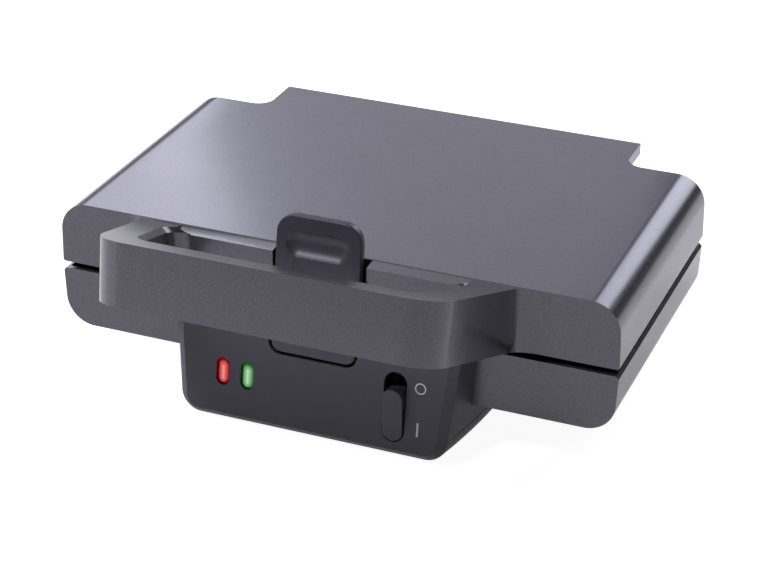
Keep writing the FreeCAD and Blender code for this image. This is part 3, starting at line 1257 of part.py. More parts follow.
# ---------------------------------------------------------------- build
node("base_shell", base_shell())
console_housing()
bottom_cover()
cover_screws()
rubber_feet()
cord_inlet_bush()
donut_plate("lower_plate", -1)
donut_plate("upper_plate", 1)
plate_screws("lower_plate_screws", -1)
plate_screws("upper_plate_screws", 1)
heating_element("lower_heating_element", -1)
heating_element("upper_heating_element", 1)
heat_reflector("lower_heat_reflector", -1)
heat_reflector("upper_heat_reflector", 1)
reflector_screws("lower_reflector_screws", -1)
reflector_screws("upper_reflector_screws", 1)
lid_shell()
handle_cover()
hinge_arms()
hinge_pins()
pilot_lens("red_pilot_lens", "red_lens_at")
pilot_lens("green_pilot_lens", "green_lens_at")
pilot_lamps()
switch_body()
rocker()
latch_lever()
latch_pin()
latch_spring()
small_electrics()

doc.recompute()
for item in doc.Objects:
    if "Invalid" in item.State or "Error" in item.State:
        raise RuntimeError(f"{item.Name} ({item.Label}) did not compute: {item.State}")
os.makedirs("parts", exist_ok=True)
for label, item in nodes.items():
    shape = item.Shape
    if shape.isNull() or not shape.isValid() or not shape.Solids:
        raise RuntimeError(f"{label} has no valid solid")
    shape.exportStep(f"parts/{label}.step")
    bounds = shape.BoundBox
    print(f"{label:26s} {len(shape.Solids)} solids {shape.Volume / 1000:9.2f} cm3 "
          f"x {bounds.XMin:7.1f} {bounds.XMax:7.1f}  y {bounds.YMin:7.1f} {bounds.YMax:7.1f}  "
          f"z {bounds.ZMin:6.1f} {bounds.ZMax:6.1f}")
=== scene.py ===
# %% [markdown]
# # A hinged donut maker, dressed around its working frame
#
# The mechanical design is already finished: shells, plates, hinge, latch and switch are solid
# models that fit and move. This lesson gives them the looks of a real kitchen appliance. It
# rounds moulded edges, adds the small pieces that only the eye needs, and builds every finish
# from shader nodes. All lengths are in metres, in the frame that the design came in.

# %% Load the frame
import json
import math

import bmesh
import bpy
from mathutils import Matrix, Vector

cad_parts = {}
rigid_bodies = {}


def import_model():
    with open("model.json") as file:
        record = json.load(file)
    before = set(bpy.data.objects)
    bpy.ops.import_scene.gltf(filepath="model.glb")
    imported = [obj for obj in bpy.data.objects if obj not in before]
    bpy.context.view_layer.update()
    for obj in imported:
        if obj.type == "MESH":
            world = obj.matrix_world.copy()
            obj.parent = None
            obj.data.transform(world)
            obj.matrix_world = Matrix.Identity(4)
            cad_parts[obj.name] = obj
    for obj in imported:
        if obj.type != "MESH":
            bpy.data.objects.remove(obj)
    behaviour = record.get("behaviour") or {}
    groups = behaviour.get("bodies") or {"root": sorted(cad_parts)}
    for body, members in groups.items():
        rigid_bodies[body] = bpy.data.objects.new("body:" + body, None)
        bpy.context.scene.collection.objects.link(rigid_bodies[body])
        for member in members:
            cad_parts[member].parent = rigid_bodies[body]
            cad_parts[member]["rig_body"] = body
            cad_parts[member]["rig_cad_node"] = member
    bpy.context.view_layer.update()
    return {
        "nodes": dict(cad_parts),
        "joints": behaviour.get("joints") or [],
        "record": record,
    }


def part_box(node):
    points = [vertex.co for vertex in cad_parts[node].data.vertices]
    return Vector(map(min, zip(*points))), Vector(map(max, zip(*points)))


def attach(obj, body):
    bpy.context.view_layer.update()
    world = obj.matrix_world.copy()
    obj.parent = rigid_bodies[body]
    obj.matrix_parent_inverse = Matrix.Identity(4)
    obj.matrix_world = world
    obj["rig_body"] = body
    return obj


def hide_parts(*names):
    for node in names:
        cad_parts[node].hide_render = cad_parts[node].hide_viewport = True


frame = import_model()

NODES = frame["nodes"]
MM = 0.001

# %% [markdown]
# ## The camera
#
# A product shot is taken from a little above and to one side, from about a metre away with a
# long lens, so that the sides of the body stay nearly parallel. The camera could be placed by
# hand, but here its direction is written as two angles and a distance from an aim point, which
# is easier to read and to change. A small roll levels the picture as the real tripod stood.

# %% Place the camera
AIM = Vector((0.25, 24.63, 35.02)) * MM
DISTANCE = 1.121
AZIMUTH, ELEVATION, ROLL = (math.radians(a) for a in (21.59, 27.48, 0.577))
LENS_MM = 101.88
SENSOR_MM = 36.0
FAR_LIMIT = 50.0


def towards(azimuth, elevation):
    """The direction from the object to a viewer at an azimuth right of the front."""
    level = math.cos(elevation)
    return Vector((math.sin(azimuth) * level, -math.cos(azimuth) * level, math.sin(elevation)))


camera_data = bpy.data.cameras.new("studio_camera")
camera_data.lens = LENS_MM
camera_data.sensor_width = SENSOR_MM
camera_data.clip_end = FAR_LIMIT
camera = bpy.data.objects.new("studio_camera", camera_data)
bpy.context.scene.collection.objects.link(camera)
view_axis = towards(AZIMUTH, ELEVATION)
turn = view_axis.to_track_quat("Z", "Y").to_matrix().to_4x4()
roll = Matrix.Rotation(ROLL, 4, "Z")
camera.matrix_world = Matrix.Translation(AIM + view_axis * DISTANCE) @ turn @ roll
bpy.context.scene.camera = camera
bpy.context.scene.view_settings.view_transform = "Standard"
print("camera at", [round(c, 3) for c in camera.location])

# %% [markdown]
# ## The studio
#
# Grey lacquer shows whatever surrounds it, so the room matters as much as the paint. The room
# itself is nearly dark, and a few large soft boxes draw the long gradients on the lid. Area
# lights are used because their size sets how soft the edge of a highlight is.

# %% Build the room and its lights
FLOOR_SIZE = 14.0
FLOOR_GAP = 0.02 * MM          # keeps the board clear of the feet
SKY_STRENGTH = 0.06
LIGHT_DISTANCE = 1.6
bpy.ops.mesh.primitive_plane_add(size=FLOOR_SIZE, location=(0, 0, -FLOOR_GAP))
floor = bpy.context.object
floor.name = "studio_floor"

world = bpy.data.worlds.new("studio_world")
bpy.context.scene.world = world
world.use_nodes = True
sky = world.node_tree.nodes["Background"]
sky.inputs["Color"].default_value = (1.0, 1.0, 1.0, 1.0)
sky.inputs["Strength"].default_value = SKY_STRENGTH

LIGHT_TINT = (0.96, 0.945, 1.12)


def soft_box(name, place, aim, side, watts):
    """A square studio light at a place, turned to an aim point."""
    data = bpy.data.lights.new(name, "AREA")
    data.shape = "RECTANGLE"
    data.size = side
    data.size_y = side
    data.energy = watts
    data.color = LIGHT_TINT
    lamp = bpy.data.objects.new(name, data)
    bpy.context.scene.collection.objects.link(lamp)
    lamp.location = Vector(place)
    lamp.rotation_euler = (Vector(aim) - Vector(place)).to_track_quat("-Z", "Y").to_euler()


CENTRE = Vector((0.0, 0.0, 0.06))
STUDIO_LIGHTS = {
    # name: azimuth right of the front, elevation, side of the box in metres, watts
    "overhead_front": (-32, 55, 0.45, 12.0),
    "behind_right": (166, 24, 0.7, 5.0),
    "rear_left": (-135, 30, 0.8, 4.5),
    "far_left": (-160, 27, 0.7, 1.2),
    "front_left": (-50, 12, 0.8, 2.4),
}
for name, (azimuth, elevation, side, watts) in STUDIO_LIGHTS.items():
    way = towards(math.radians(azimuth), math.radians(elevation))
    soft_box(name, CENTRE + way * LIGHT_DISTANCE, CENTRE, side, watts)

# %% [markdown]
# ## Shader groups that the finishes share
#
# Paint flakes, mould texture, handling marks and the lighter edges (wear plus a painted highlight)
# turn up in several materials. Each is built once as a node group with named inputs, and every
# material places it with its own values. A group only gives out colours, masks and heights; the
# shader itself stays in the material, so each material can still be read on its own.

# %% Helpers for nodes
SCENE_NODES = bpy.data.node_groups


def wire(tree, source, target):
    tree.links.new(source, target)


def add(tree, kind, **values):
    """Place a node and set its sockets or properties by name."""
    made = tree.nodes.new(kind)
    for name, value in values.items():
        if hasattr(made, name):
            setattr(made, name, value)
        else:
            made.inputs[name.replace("_", " ")].default_value = value
    return made


def new_group(name, inputs, outputs):
    """A shader group with float inputs {name: start value} and outputs {name: kind}."""
    tree = SCENE_NODES.new(name, "ShaderNodeTree")
    for label, start in inputs.items():
        kind = "NodeSocketColor" if isinstance(start, tuple) else "NodeSocketFloat"
        socket = tree.interface.new_socket(label, in_out="INPUT", socket_type=kind)
        socket.default_value = start
    for label, kind in outputs.items():
        tree.interface.new_socket(label, in_out="OUTPUT", socket_type=kind)
    return tree, tree.nodes.new("NodeGroupInput"), tree.nodes.new("NodeGroupOutput")


def ramp(tree, source, *stops):
    """A colour ramp of (position, grey) stops on a source."""
    made = tree.nodes.new("ShaderNodeValToRGB")
    elements = made.color_ramp.elements
    while len(elements) < len(stops):
        elements.new(0.5)
    for element, (position, grey) in zip(elements, stops):
        element.position = position
        element.color = (grey, grey, grey, 1.0)
    wire(tree, source, made.inputs["Fac"])
    return made.outputs["Color"]


def maths(tree, operation, first, second):
    """A math node on sockets or plain numbers."""
    made = tree.nodes.new("ShaderNodeMath")
    made.operation = operation
    for slot, value in zip(made.inputs, (first, second)):
        if hasattr(value, "is_output"):
            wire(tree, value, slot)
        else:
            slot.default_value = value
    return made.outputs[0]


def blend_colours(tree, factor, first, second):
    """A colour mix whose inputs are sockets or plain colours."""
    made = tree.nodes.new("ShaderNodeMix")
    made.data_type = "RGBA"
    slots = (made.inputs["Factor"], made.inputs[6], made.inputs[7])
    for slot, value in zip(slots, (factor, first, second)):
        if hasattr(value, "is_output"):
            wire(tree, value, slot)
        else:
            slot.default_value = value
    return made.outputs[2]


def object_place(tree):
    return tree.nodes.new("ShaderNodeTexCoord").outputs["Object"]


# %% [markdown]
# ### Metal flake
#
# The lacquer on the lid holds aluminium flakes about a tenth of a millimetre across. Each
# flake lies at its own small angle, so one sparkles while the next stays dark. A Voronoi
# texture with a random colour per cell gives flakes with hard borders; a plain noise would
# only give soft clouds.

# %% Group: metal flake
flake_tree, flake_in, flake_out = new_group(
    "metal_flake", {"Colour": (0.2, 0.2, 0.2, 1.0), "Flakes per metre": 6000.0, "Sparkle": 0.3},
    {"Colour": "NodeSocketColor", "Height": "NodeSocketFloat"})
cells = add(flake_tree, "ShaderNodeTexVoronoi")
wire(flake_tree, object_place(flake_tree), cells.inputs["Vector"])
wire(flake_tree, flake_in.outputs["Flakes per metre"], cells.inputs["Scale"])
split = add(flake_tree, "ShaderNodeSeparateColor")
wire(flake_tree, cells.outputs["Color"], split.inputs["Color"])
spark = ramp(flake_tree, split.outputs["Red"], (0.0, 0.0), (0.62, 0.12), (0.86, 0.45), (1.0, 1.0))
amount = maths(flake_tree, "MULTIPLY", spark, flake_in.outputs["Sparkle"])
bright = blend_colours(flake_tree, amount, flake_in.outputs["Colour"], (0.78, 0.78, 0.84, 1.0))
wire(flake_tree, bright, flake_out.inputs["Colour"])
wire(flake_tree, split.outputs["Green"], flake_out.inputs["Height"])

# %% [markdown]
# ### Mould texture
#
# Plain plastic is never quite smooth: the mould is etched so that the surface scatters light.
# Two noises at different scales, added together, look more like etching than one does.

# %% Group: mould texture
grain_tree, grain_in, grain_out = new_group(
    "mould_texture", {"Grains per metre": 3000.0, "Depth": 1.0}, {"Height": "NodeSocketFloat"})
place = object_place(grain_tree)
fine = add(grain_tree, "ShaderNodeTexNoise", Detail=3.0, Roughness=0.6)
coarse = add(grain_tree, "ShaderNodeTexVoronoi", feature="SMOOTH_F1")
for texture, share in ((fine, 1.0), (coarse, 0.45)):
    wire(grain_tree, place, texture.inputs["Vector"])
    wire(grain_tree, maths(grain_tree, "MULTIPLY", grain_in.outputs["Grains per metre"], share),
         texture.inputs["Scale"])
total = maths(grain_tree, "ADD", fine.outputs["Fac"], coarse.outputs["Distance"])
wire(grain_tree, maths(grain_tree, "MULTIPLY", total, grain_in.outputs["Depth"]),
     grain_out.inputs["Height"])

# %% [markdown]
# ### Handling marks
#
# Fingers and cloths leave faint patches that are a little shinier or duller than the rest.
# They are larger than a fingertip and have no colour, so this group takes a material's
# roughness and gives it back with the patches in it.

# %% Group: handling marks
touch_tree, touch_in, touch_out = new_group(
    "handling_marks", {"Roughness": 0.4, "Change": 0.08, "Patches per metre": 30.0},
    {"Roughness": "NodeSocketFloat"})
patches = add(touch_tree, "ShaderNodeTexNoise", Detail=5.0, Roughness=0.62, Distortion=0.35)
wire(touch_tree, object_place(touch_tree), patches.inputs["Vector"])
wire(touch_tree, touch_in.outputs["Patches per metre"], patches.inputs["Scale"])
mask = ramp(touch_tree, patches.outputs["Fac"], (0.3, 0.0), (0.7, 1.0))
middle = maths(touch_tree, "SUBTRACT", mask, 0.5)
shift = maths(touch_tree, "MULTIPLY", middle, touch_in.outputs["Change"])
wire(touch_tree, maths(touch_tree, "ADD", touch_in.outputs["Roughness"], shift),
     touch_out.inputs["Roughness"])

# %% [markdown]
# ### Edge highlight and wear
#
# The softened pieces further down carry an attribute called `edge`, which is one on their rounded
# edges and zero elsewhere. This group paints those edges a lighter colour. Part of it is wear,
# where a rubbed edge loses its flat finish, and part is a painted highlight, the thin line of
# light that a rounded edge catches. Noise breaks the line up so that it is never even.

# %% Group: edge highlight and wear
highlight_wear_tree, highlight_wear_in, highlight_wear_out = new_group(
    "edge_wear_and_highlight",
    {"Colour": (0.2, 0.2, 0.2, 1.0), "Worn colour": (0.4, 0.4, 0.42, 1.0), "Amount": 0.4},
    {"Colour": "NodeSocketColor"})
edge = add(highlight_wear_tree, "ShaderNodeAttribute", attribute_name="edge")
line_breakup = add(highlight_wear_tree, "ShaderNodeTexNoise", Scale=240.0, Detail=4.0, Roughness=0.7)
wire(highlight_wear_tree, object_place(highlight_wear_tree), line_breakup.inputs["Vector"])
uneven_line = ramp(highlight_wear_tree, line_breakup.outputs["Fac"], (0.35, 0.25), (0.65, 1.0))
broken = maths(highlight_wear_tree, "MULTIPLY", edge.outputs["Fac"], uneven_line)
# the lighter edge line is partly wear and partly a painted highlight
highlight_and_wear = maths(highlight_wear_tree, "MULTIPLY", broken, highlight_wear_in.outputs["Amount"])
wire(highlight_wear_tree, blend_colours(highlight_wear_tree, highlight_and_wear, highlight_wear_in.outputs["Colour"], highlight_wear_in.outputs["Worn colour"]),
     highlight_wear_out.inputs["Colour"])
print("shader groups:", [g.name for g in SCENE_NODES])

# %% [markdown]
# ## The finishes
#
# One function starts every material. Values that are the same all over the piece sit on the
# Principled shader's own sockets, and only what changes across the surface is wired in.

# %% A material to start from
FINISHES = {}


def new_finish(name, **constants):
    """A Principled material with plain values on its sockets, kept by its slot name."""
    material = bpy.data.materials.new("finish_" + name)
    material.use_nodes = True
    tree = material.node_tree
    shader = tree.nodes["Principled BSDF"]
    for socket, value in constants.items():
        shader.inputs[socket.replace("_", " ")].default_value = value
    FINISHES[name] = material
    return tree, shader


def place_group(tree, name, **values):
    """A shared group with its own input values."""
    made = tree.nodes.new("ShaderNodeGroup")
    made.node_tree = SCENE_NODES[name]
    for label, value in values.items():
        made.inputs[label.replace("_", " ")].default_value = value
    return made


def raise_surface(tree, shader, height, strength, distance):
    """Feed a height to the shader's normal through a bump node."""
    bump = add(tree, "ShaderNodeBump", Strength=strength, Distance=distance)
    wire(tree, height, bump.inputs["Height"])
    wire(tree, bump.outputs["Normal"], shader.inputs["Normal"])


def touched(tree, shader, roughness, change, patches=30.0):
    """Let handling marks drive the roughness."""
    marks = place_group(tree, "handling_marks", Roughness=roughness, Change=change,
                        Patches_per_metre=patches)
    wire(tree, marks.outputs["Roughness"], shader.inputs["Roughness"])


# %% [markdown]
# ### Shell lacquer
#
# Lid and base are sprayed with a dark silver lacquer: a metallic base coat under a thin satin
# varnish. A metallic shader with a soft highlight gives the body of it, flakes give it life, and
# a weak rough coat stands for the varnish. Its rounded edges get a lighter colour, which is partly
# wear and partly a painted highlight line.

# %% Finish: shell lacquer
tree, shader = new_finish("shell_paint", Metallic=0.55, Coat_Weight=0.9, Coat_Roughness=0.18,
                          Coat_IOR=1.55, Specular_IOR_Level=0.5)
flakes = place_group(tree, "metal_flake", Colour=(0.062, 0.060, 0.072, 1.0),
                     Flakes_per_metre=4200.0, Sparkle=0.10)
# lighter rounded edges: partly wear, partly a painted highlight line
highlight_wear_node = place_group(tree, "edge_wear_and_highlight", Worn_colour=(0.50, 0.50, 0.56, 1.0), Amount=0.34)
wire(tree, flakes.outputs["Colour"], highlight_wear_node.inputs["Colour"])
wire(tree, highlight_wear_node.outputs["Colour"], shader.inputs["Base Color"])
touched(tree, shader, 0.34, 0.05, 22.0)
raise_surface(tree, shader, flakes.outputs["Height"], 0.10, 0.00006)

# %% [markdown]
# ### Moulded plastics
#
# The console, the latch and the switch are bare plastic, each with its own texture and gloss.
# They share one recipe, so a function builds them and the values tell them apart.

# %% Finish: moulded plastics


def moulded_plastic(name, colour, highlight_and_wear, roughness, grains, depth):
    """Bare plastic with mould texture, handling marks, random mottle, and lighter edges that are partly
    wear and partly a painted highlight.
    """
    tree, shader = new_finish(name, Specular_IOR_Level=0.5)
    # lighter rounded edges: partly wear, partly a painted highlight line; the mottle uses the same lighter
    # colour
    highlight_wear_node = place_group(tree, "edge_wear_and_highlight", Colour=colour, Worn_colour=highlight_and_wear, Amount=0.35)
    mottle = add(tree, "ShaderNodeTexNoise", Scale=95.0, Detail=4.0, Roughness=0.6)
    wire(tree, object_place(tree), mottle.inputs["Vector"])
    uneven = blend_colours(tree, ramp(tree, mottle.outputs["Fac"], (0.3, 0.0), (0.7, 0.35)),
                           highlight_wear_node.outputs["Colour"], highlight_and_wear)
    wire(tree, uneven, shader.inputs["Base Color"])
    touched(tree, shader, roughness, 0.07)
    grain = place_group(tree, "mould_texture", Grains_per_metre=grains, Depth=1.0)
    raise_surface(tree, shader, grain.outputs["Height"], depth, 0.0001)


PLASTICS = {
    # name: colour, lighter colour for the edges (painted highlight and wear) and the mottle, roughness,
    # grains per metre, depth of the grain
    "console_plastic": ((0.060, 0.058, 0.070, 1.0), (0.085, 0.083, 0.098, 1.0), 0.46, 3200.0, 0.16),
    "latch_plastic": ((0.056, 0.054, 0.066, 1.0), (0.085, 0.083, 0.098, 1.0), 0.40, 3000.0, 0.14),
    "switch_plastic": ((0.050, 0.049, 0.058, 1.0), (0.085, 0.084, 0.095, 1.0), 0.42, 2600.0, 0.10),
    "bakelite": ((0.022, 0.016, 0.013, 1.0), (0.05, 0.035, 0.028, 1.0), 0.30, 1500.0, 0.10),
    "white_block": ((0.70, 0.68, 0.62, 1.0), (0.80, 0.79, 0.75, 1.0), 0.45, 1800.0, 0.12),
}
for name, values in PLASTICS.items():
    moulded_plastic(name, *values)
print("plastics:", list(PLASTICS))

# %% [markdown]
# ### Rubber and sleeve
#
# Feet and cable bush are soft black rubber, which is rough and picks up dust in its pores. The
# inner wires wear a silicone sleeve, which is paler and has a faint lengthwise sheen.

# %% Finish: rubber and sleeve


def soft_rubber(name, colour, dust, roughness, sheen):
    """Rubber with a pore texture and a dusting in it."""
    tree, shader = new_finish(name, Specular_IOR_Level=0.35, Sheen_Weight=sheen, Sheen_Roughness=0.6)
    pores = place_group(tree, "mould_texture", Grains_per_metre=1600.0, Depth=1.0)
    dusting = ramp(tree, pores.outputs["Height"], (0.55, 0.0), (1.25, 0.5))
    wire(tree, blend_colours(tree, dusting, colour, dust), shader.inputs["Base Color"])
    touched(tree, shader, roughness, 0.1, 60.0)
    raise_surface(tree, shader, pores.outputs["Height"], 0.35, 0.00015)


soft_rubber("rubber", (0.018, 0.018, 0.019, 1.0), (0.055, 0.053, 0.05, 1.0), 0.72, 0.15)
soft_rubber("wire_sleeve", (0.46, 0.44, 0.38, 1.0), (0.60, 0.58, 0.52, 1.0), 0.5, 0.25)

# %% [markdown]
# ### Lenses and lamps
#
# The pilot lenses are clear coloured plastic. Full glass would show the dark hole behind them,
# so the lens is only slightly clear and its highlight is painted into its colour. How far a
# point lies from the lens's centre line sets its colour: a pale painted highlight in the middle,
# deep in the bevel. The same colour also glows faintly.

# %% Finish: lenses and lamps
LENS_HALF = 3.15 * MM           # half the width of a lens
# the painted highlight runs along a line of this length down the lens's middle
LENS_HIGHLIGHT_RUN = 6.0 * MM            # length of the line its glow runs along


def clear_lens(name, node, painted_highlight, colour, deep, glow):
    """Tinted clear plastic with a painted highlight along its middle, deeper in colour toward the rim, and
    a faint glow of the same colour.
    """
    tree, shader = new_finish(name, Roughness=0.06, Transmission_Weight=0.15, IOR=1.49,
                              Coat_Weight=0.8, Coat_Roughness=0.03, Emission_Strength=glow)
    middle = (Vector(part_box(node)[0]) + Vector(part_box(node)[1])) / 2
    spot = add(tree, "ShaderNodeSeparateXYZ")
    wire(tree, object_place(tree), spot.inputs["Vector"])
    across = maths(tree, "SUBTRACT", spot.outputs["X"], middle.x)
    up = maths(tree, "ABSOLUTE", maths(tree, "SUBTRACT", spot.outputs["Z"], middle.z), 0.0)
    beyond = maths(tree, "MAXIMUM", maths(tree, "SUBTRACT", up, LENS_HIGHLIGHT_RUN / 2), 0.0)
    squared = maths(tree, "ADD", maths(tree, "MULTIPLY", across, across),
                    maths(tree, "MULTIPLY", beyond, beyond))
    reach = maths(tree, "DIVIDE", maths(tree, "SQRT", squared, 0.0), LENS_HALF)
    ribs = add(tree, "ShaderNodeTexNoise", Scale=900.0, Detail=2.0, Roughness=0.5)
    wire(tree, object_place(tree), ribs.inputs["Vector"])
    uneven = maths(tree, "ADD", reach, maths(tree, "MULTIPLY", ribs.outputs["Fac"], 0.12))
    # painted highlight: paler toward the centre line whatever the lamps, deeper colour toward the rim
    highlight_blend = blend_colours(tree, ramp(tree, uneven, (0.16, 0.0), (0.42, 1.0)), painted_highlight, colour)
    colour_with_highlight = blend_colours(tree, ramp(tree, uneven, (0.55, 0.0), (1.0, 1.0)), highlight_blend, deep)
    wire(tree, colour_with_highlight, shader.inputs["Base Color"])
    # the emission carries the same painted highlight colour
    wire(tree, colour_with_highlight, shader.inputs["Emission Color"])


# the first colour of each lens is its painted highlight
clear_lens("red_lens", "red_pilot_lens", (1.0, 0.42, 0.30, 1.0),
           (0.90, 0.03, 0.03, 1.0), (0.35, 0.0, 0.01, 1.0), 0.35)
clear_lens("green_lens", "green_pilot_lens", (0.75, 0.95, 0.72, 1.0),
           (0.22, 0.62, 0.20, 1.0), (0.03, 0.20, 0.04, 1.0), 0.30)

tree, shader = new_finish("lamp_glass", Roughness=0.05, Transmission_Weight=0.9, IOR=1.5)
haze = add(tree, "ShaderNodeTexNoise", Scale=300.0, Detail=2.0)
wire(tree, object_place(tree), haze.inputs["Vector"])
wire(tree, blend_colours(tree, haze.outputs["Fac"], (0.92, 0.92, 0.88, 1.0), (0.75, 0.70, 0.62, 1.0)),
     shader.inputs["Base Color"])

# %% [markdown]
# ### Non-stick plates
#
# The baking plates are cast aluminium sprayed with a black coating that is baked on. It lies
# in tiny droplets, so it has a soft orange-peel texture with a few pale specks.

# %% Finish: non-stick coating
tree, shader = new_finish("nonstick", Specular_IOR_Level=0.55, Coat_Weight=0.25, Coat_Roughness=0.3)
specks = add(tree, "ShaderNodeTexVoronoi", Scale=900.0)
wire(tree, object_place(tree), specks.inputs["Vector"])
dots = ramp(tree, specks.outputs["Distance"], (0.0, 1.0), (0.16, 0.0))
rare = add(tree, "ShaderNodeSeparateColor")
wire(tree, specks.outputs["Color"], rare.inputs["Color"])
chosen = maths(tree, "MULTIPLY", dots, ramp(tree, rare.outputs["Red"], (0.80, 0.0), (0.86, 0.7)))
wire(tree, blend_colours(tree, chosen, (0.022, 0.022, 0.024, 1.0), (0.20, 0.20, 0.21, 1.0)),
     shader.inputs["Base Color"])
touched(tree, shader, 0.36, 0.12, 45.0)
peel = place_group(tree, "mould_texture", Grains_per_metre=1200.0, Depth=1.0)
raise_surface(tree, shader, peel.outputs["Height"], 0.22, 0.00012)

# %% [markdown]
# ### Metals
#
# Screws, pins and hinge arms are zinc plated, the heating elements have darkened in the heat,
# and the reflectors are bright rolled sheet. All are metals; what differs is their colour, how
# rough they are, and the direction of the fine lines that rolling or turning left on them.

# %% Finish: metals


def bare_metal(name, colour, tarnish, roughness, stretch, strength):
    """Bare metal with directional lines and uneven tarnish."""
    tree, shader = new_finish(name, Metallic=1.0)
    squeeze = add(tree, "ShaderNodeMapping")
    squeeze.inputs["Scale"].default_value = stretch
    wire(tree, object_place(tree), squeeze.inputs["Vector"])
    lines = add(tree, "ShaderNodeTexNoise", Scale=900.0, Detail=4.0, Roughness=0.65)
    wire(tree, squeeze.outputs["Vector"], lines.inputs["Vector"])
    stain = add(tree, "ShaderNodeTexNoise", Scale=60.0, Detail=5.0, Roughness=0.6)
    wire(tree, object_place(tree), stain.inputs["Vector"])
    stained = ramp(tree, stain.outputs["Fac"], (0.38, 0.0), (0.72, 1.0))
    wire(tree, blend_colours(tree, stained, colour, tarnish), shader.inputs["Base Color"])
    touched(tree, shader, roughness, 0.14, 70.0)
    raise_surface(tree, shader, lines.outputs["Fac"], strength, 0.00006)


bare_metal("zinc_steel", (0.60, 0.60, 0.58, 1.0), (0.42, 0.42, 0.42, 1.0), 0.34, (1.0, 1.0, 6.0), 0.25)
bare_metal("element_sheath", (0.26, 0.24, 0.21, 1.0), (0.13, 0.10, 0.10, 1.0), 0.48, (0.2, 1.0, 1.0), 0.3)
bare_metal("reflector_sheet", (0.80, 0.80, 0.79, 1.0), (0.62, 0.60, 0.56, 1.0), 0.24, (0.06, 1.0, 1.0), 0.3)

# %% [markdown]
# ### Console print and floor
#
# The switch marks are printed in white ink, which is matt and a little uneven. The floor is
# a matt pale board, which glows a little, like a light table, so that it stays white; it is
# not part of the object.

# %% Finish: print and floor
tree, shader = new_finish("white_print", Roughness=0.55)
ink = add(tree, "ShaderNodeTexNoise", Scale=1500.0, Detail=2.0)
wire(tree, object_place(tree), ink.inputs["Vector"])
wire(tree, blend_colours(tree, ink.outputs["Fac"], (0.90, 0.90, 0.90, 1.0), (0.76, 0.76, 0.77, 1.0)),
     shader.inputs["Base Color"])

tree, shader = new_finish("floor_board", Roughness=0.9, Specular_IOR_Level=0.2)
fibres = add(tree, "ShaderNodeTexNoise", Scale=14.0, Detail=3.0)
wire(tree, object_place(tree), fibres.inputs["Vector"])
board = blend_colours(tree, fibres.outputs["Fac"], (0.93, 0.93, 0.93, 1.0), (0.90, 0.90, 0.90, 1.0))
wire(tree, board, shader.inputs["Base Color"])
wire(tree, board, shader.inputs["Emission Color"])
seen = tree.nodes.new("ShaderNodeLightPath")
mirrored = maths(tree, "MULTIPLY", seen.outputs["Is Glossy Ray"], 0.45)
wire(tree, maths(tree, "MAXIMUM", seen.outputs["Is Camera Ray"], mirrored),
     shader.inputs["Emission Strength"])
floor.data.materials.append(FINISHES["floor_board"])

# %% [markdown]
# ## Give every working part its finish
#
# The design's record says which finish each part takes. Reading it there keeps the two in
# step: a part added to the design is dressed without a change here.

# %% Dress the frame
SLOT_OF = {row["node"]: row["material_slot"] for row in frame["record"]["subparts"]}
for name, piece in NODES.items():
    for socket in piece.material_slots:
        socket.material = FINISHES[SLOT_OF[name]]
print("dressed:", len(NODES), "parts in", len(set(SLOT_OF.values())), "finishes")

# %% [markdown]
# ## Soften the moulded edges
#
# A mould can't make a perfectly sharp edge, and a real edge shows as a thin line of light. The
# shells could be modelled again from boxes, but their shape is already right, so a copy of
# each is merged, its flat triangles are dissolved, and a bevel rounds every sharp edge. The
# bevel also marks the new faces, which become the `edge` attribute for the wear and the painted
# edge highlight.

# %% Helpers for editing


def only(piece):
    """Make one piece the whole selection."""
    bpy.ops.object.select_all(action="DESELECT")
    piece.select_set(True)
    bpy.context.view_layer.objects.active = piece


def pick(piece, kind, wanted):
    """In edit mode, select the vertices, edges or faces that a test accepts."""
    bpy.ops.mesh.select_mode(type=kind)
    bpy.ops.mesh.select_all(action="DESELECT")
    mesh = bmesh.from_edit_mesh(piece.data)
    chosen = {"VERT": mesh.verts, "EDGE": mesh.edges, "FACE": mesh.faces}[kind]
    for element in chosen:
        if wanted(element):
            element.select_set(True)
    bmesh.update_edit_mesh(piece.data)


def mark_edges(piece):
    """Turn the faces in the second material slot into the `edge` attribute."""
    counts = [[0, 0] for vertex in piece.data.vertices]
    for face in piece.data.polygons:
        for index in face.vertices:
            counts[index][0] += 1
            counts[index][1] += face.material_index == 1
        face.material_index = 0
    edge = piece.data.attributes.new("edge", "FLOAT", "POINT")
    edge.data.foreach_set("value", [float(marked == all_of) for all_of, marked in counts])


SOFT_CORNER = math.radians(32.0)     # sharper corners than this are rounded


def soften(node, radius):
    """A copy of a working part with its sharp edges rounded, which stands for it."""
    source = NODES[node]
    only(source)
    bpy.ops.object.duplicate()
    piece = bpy.context.object
    del piece["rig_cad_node"]
    piece.name = node + "_softened"
    bpy.ops.object.mode_set(mode="EDIT")
    bpy.ops.mesh.select_all(action="SELECT")
    bpy.ops.mesh.remove_doubles(threshold=0.001 * MM)
    bpy.ops.mesh.dissolve_limited(angle_limit=math.radians(0.3))
    bpy.ops.object.mode_set(mode="OBJECT")
    bpy.ops.object.shade_smooth_by_angle(angle=math.radians(30))
    piece.data.materials.append(FINISHES[SLOT_OF[node]])
    rounding = piece.modifiers.new("rounding", "BEVEL")
    rounding.width = radius
    rounding.segments = 3
    rounding.limit_method = "ANGLE"
    rounding.angle_limit = SOFT_CORNER
    rounding.harden_normals = True
    rounding.material = 1
    bpy.ops.object.modifier_apply(modifier="rounding")
    mark_edges(piece)
    piece.data.materials.pop(index=1)
    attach(piece, source["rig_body"])
    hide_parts(node)
    print(f"{piece.name}: {len(piece.data.polygons)} faces")
    return piece


# %% [markdown]
# ### How round each part is
#
# A sprayed shell has a thicker, rounder edge than a bare plastic one, so each part has its own
# radius. One table is easier to compare and to change than a call for each part.

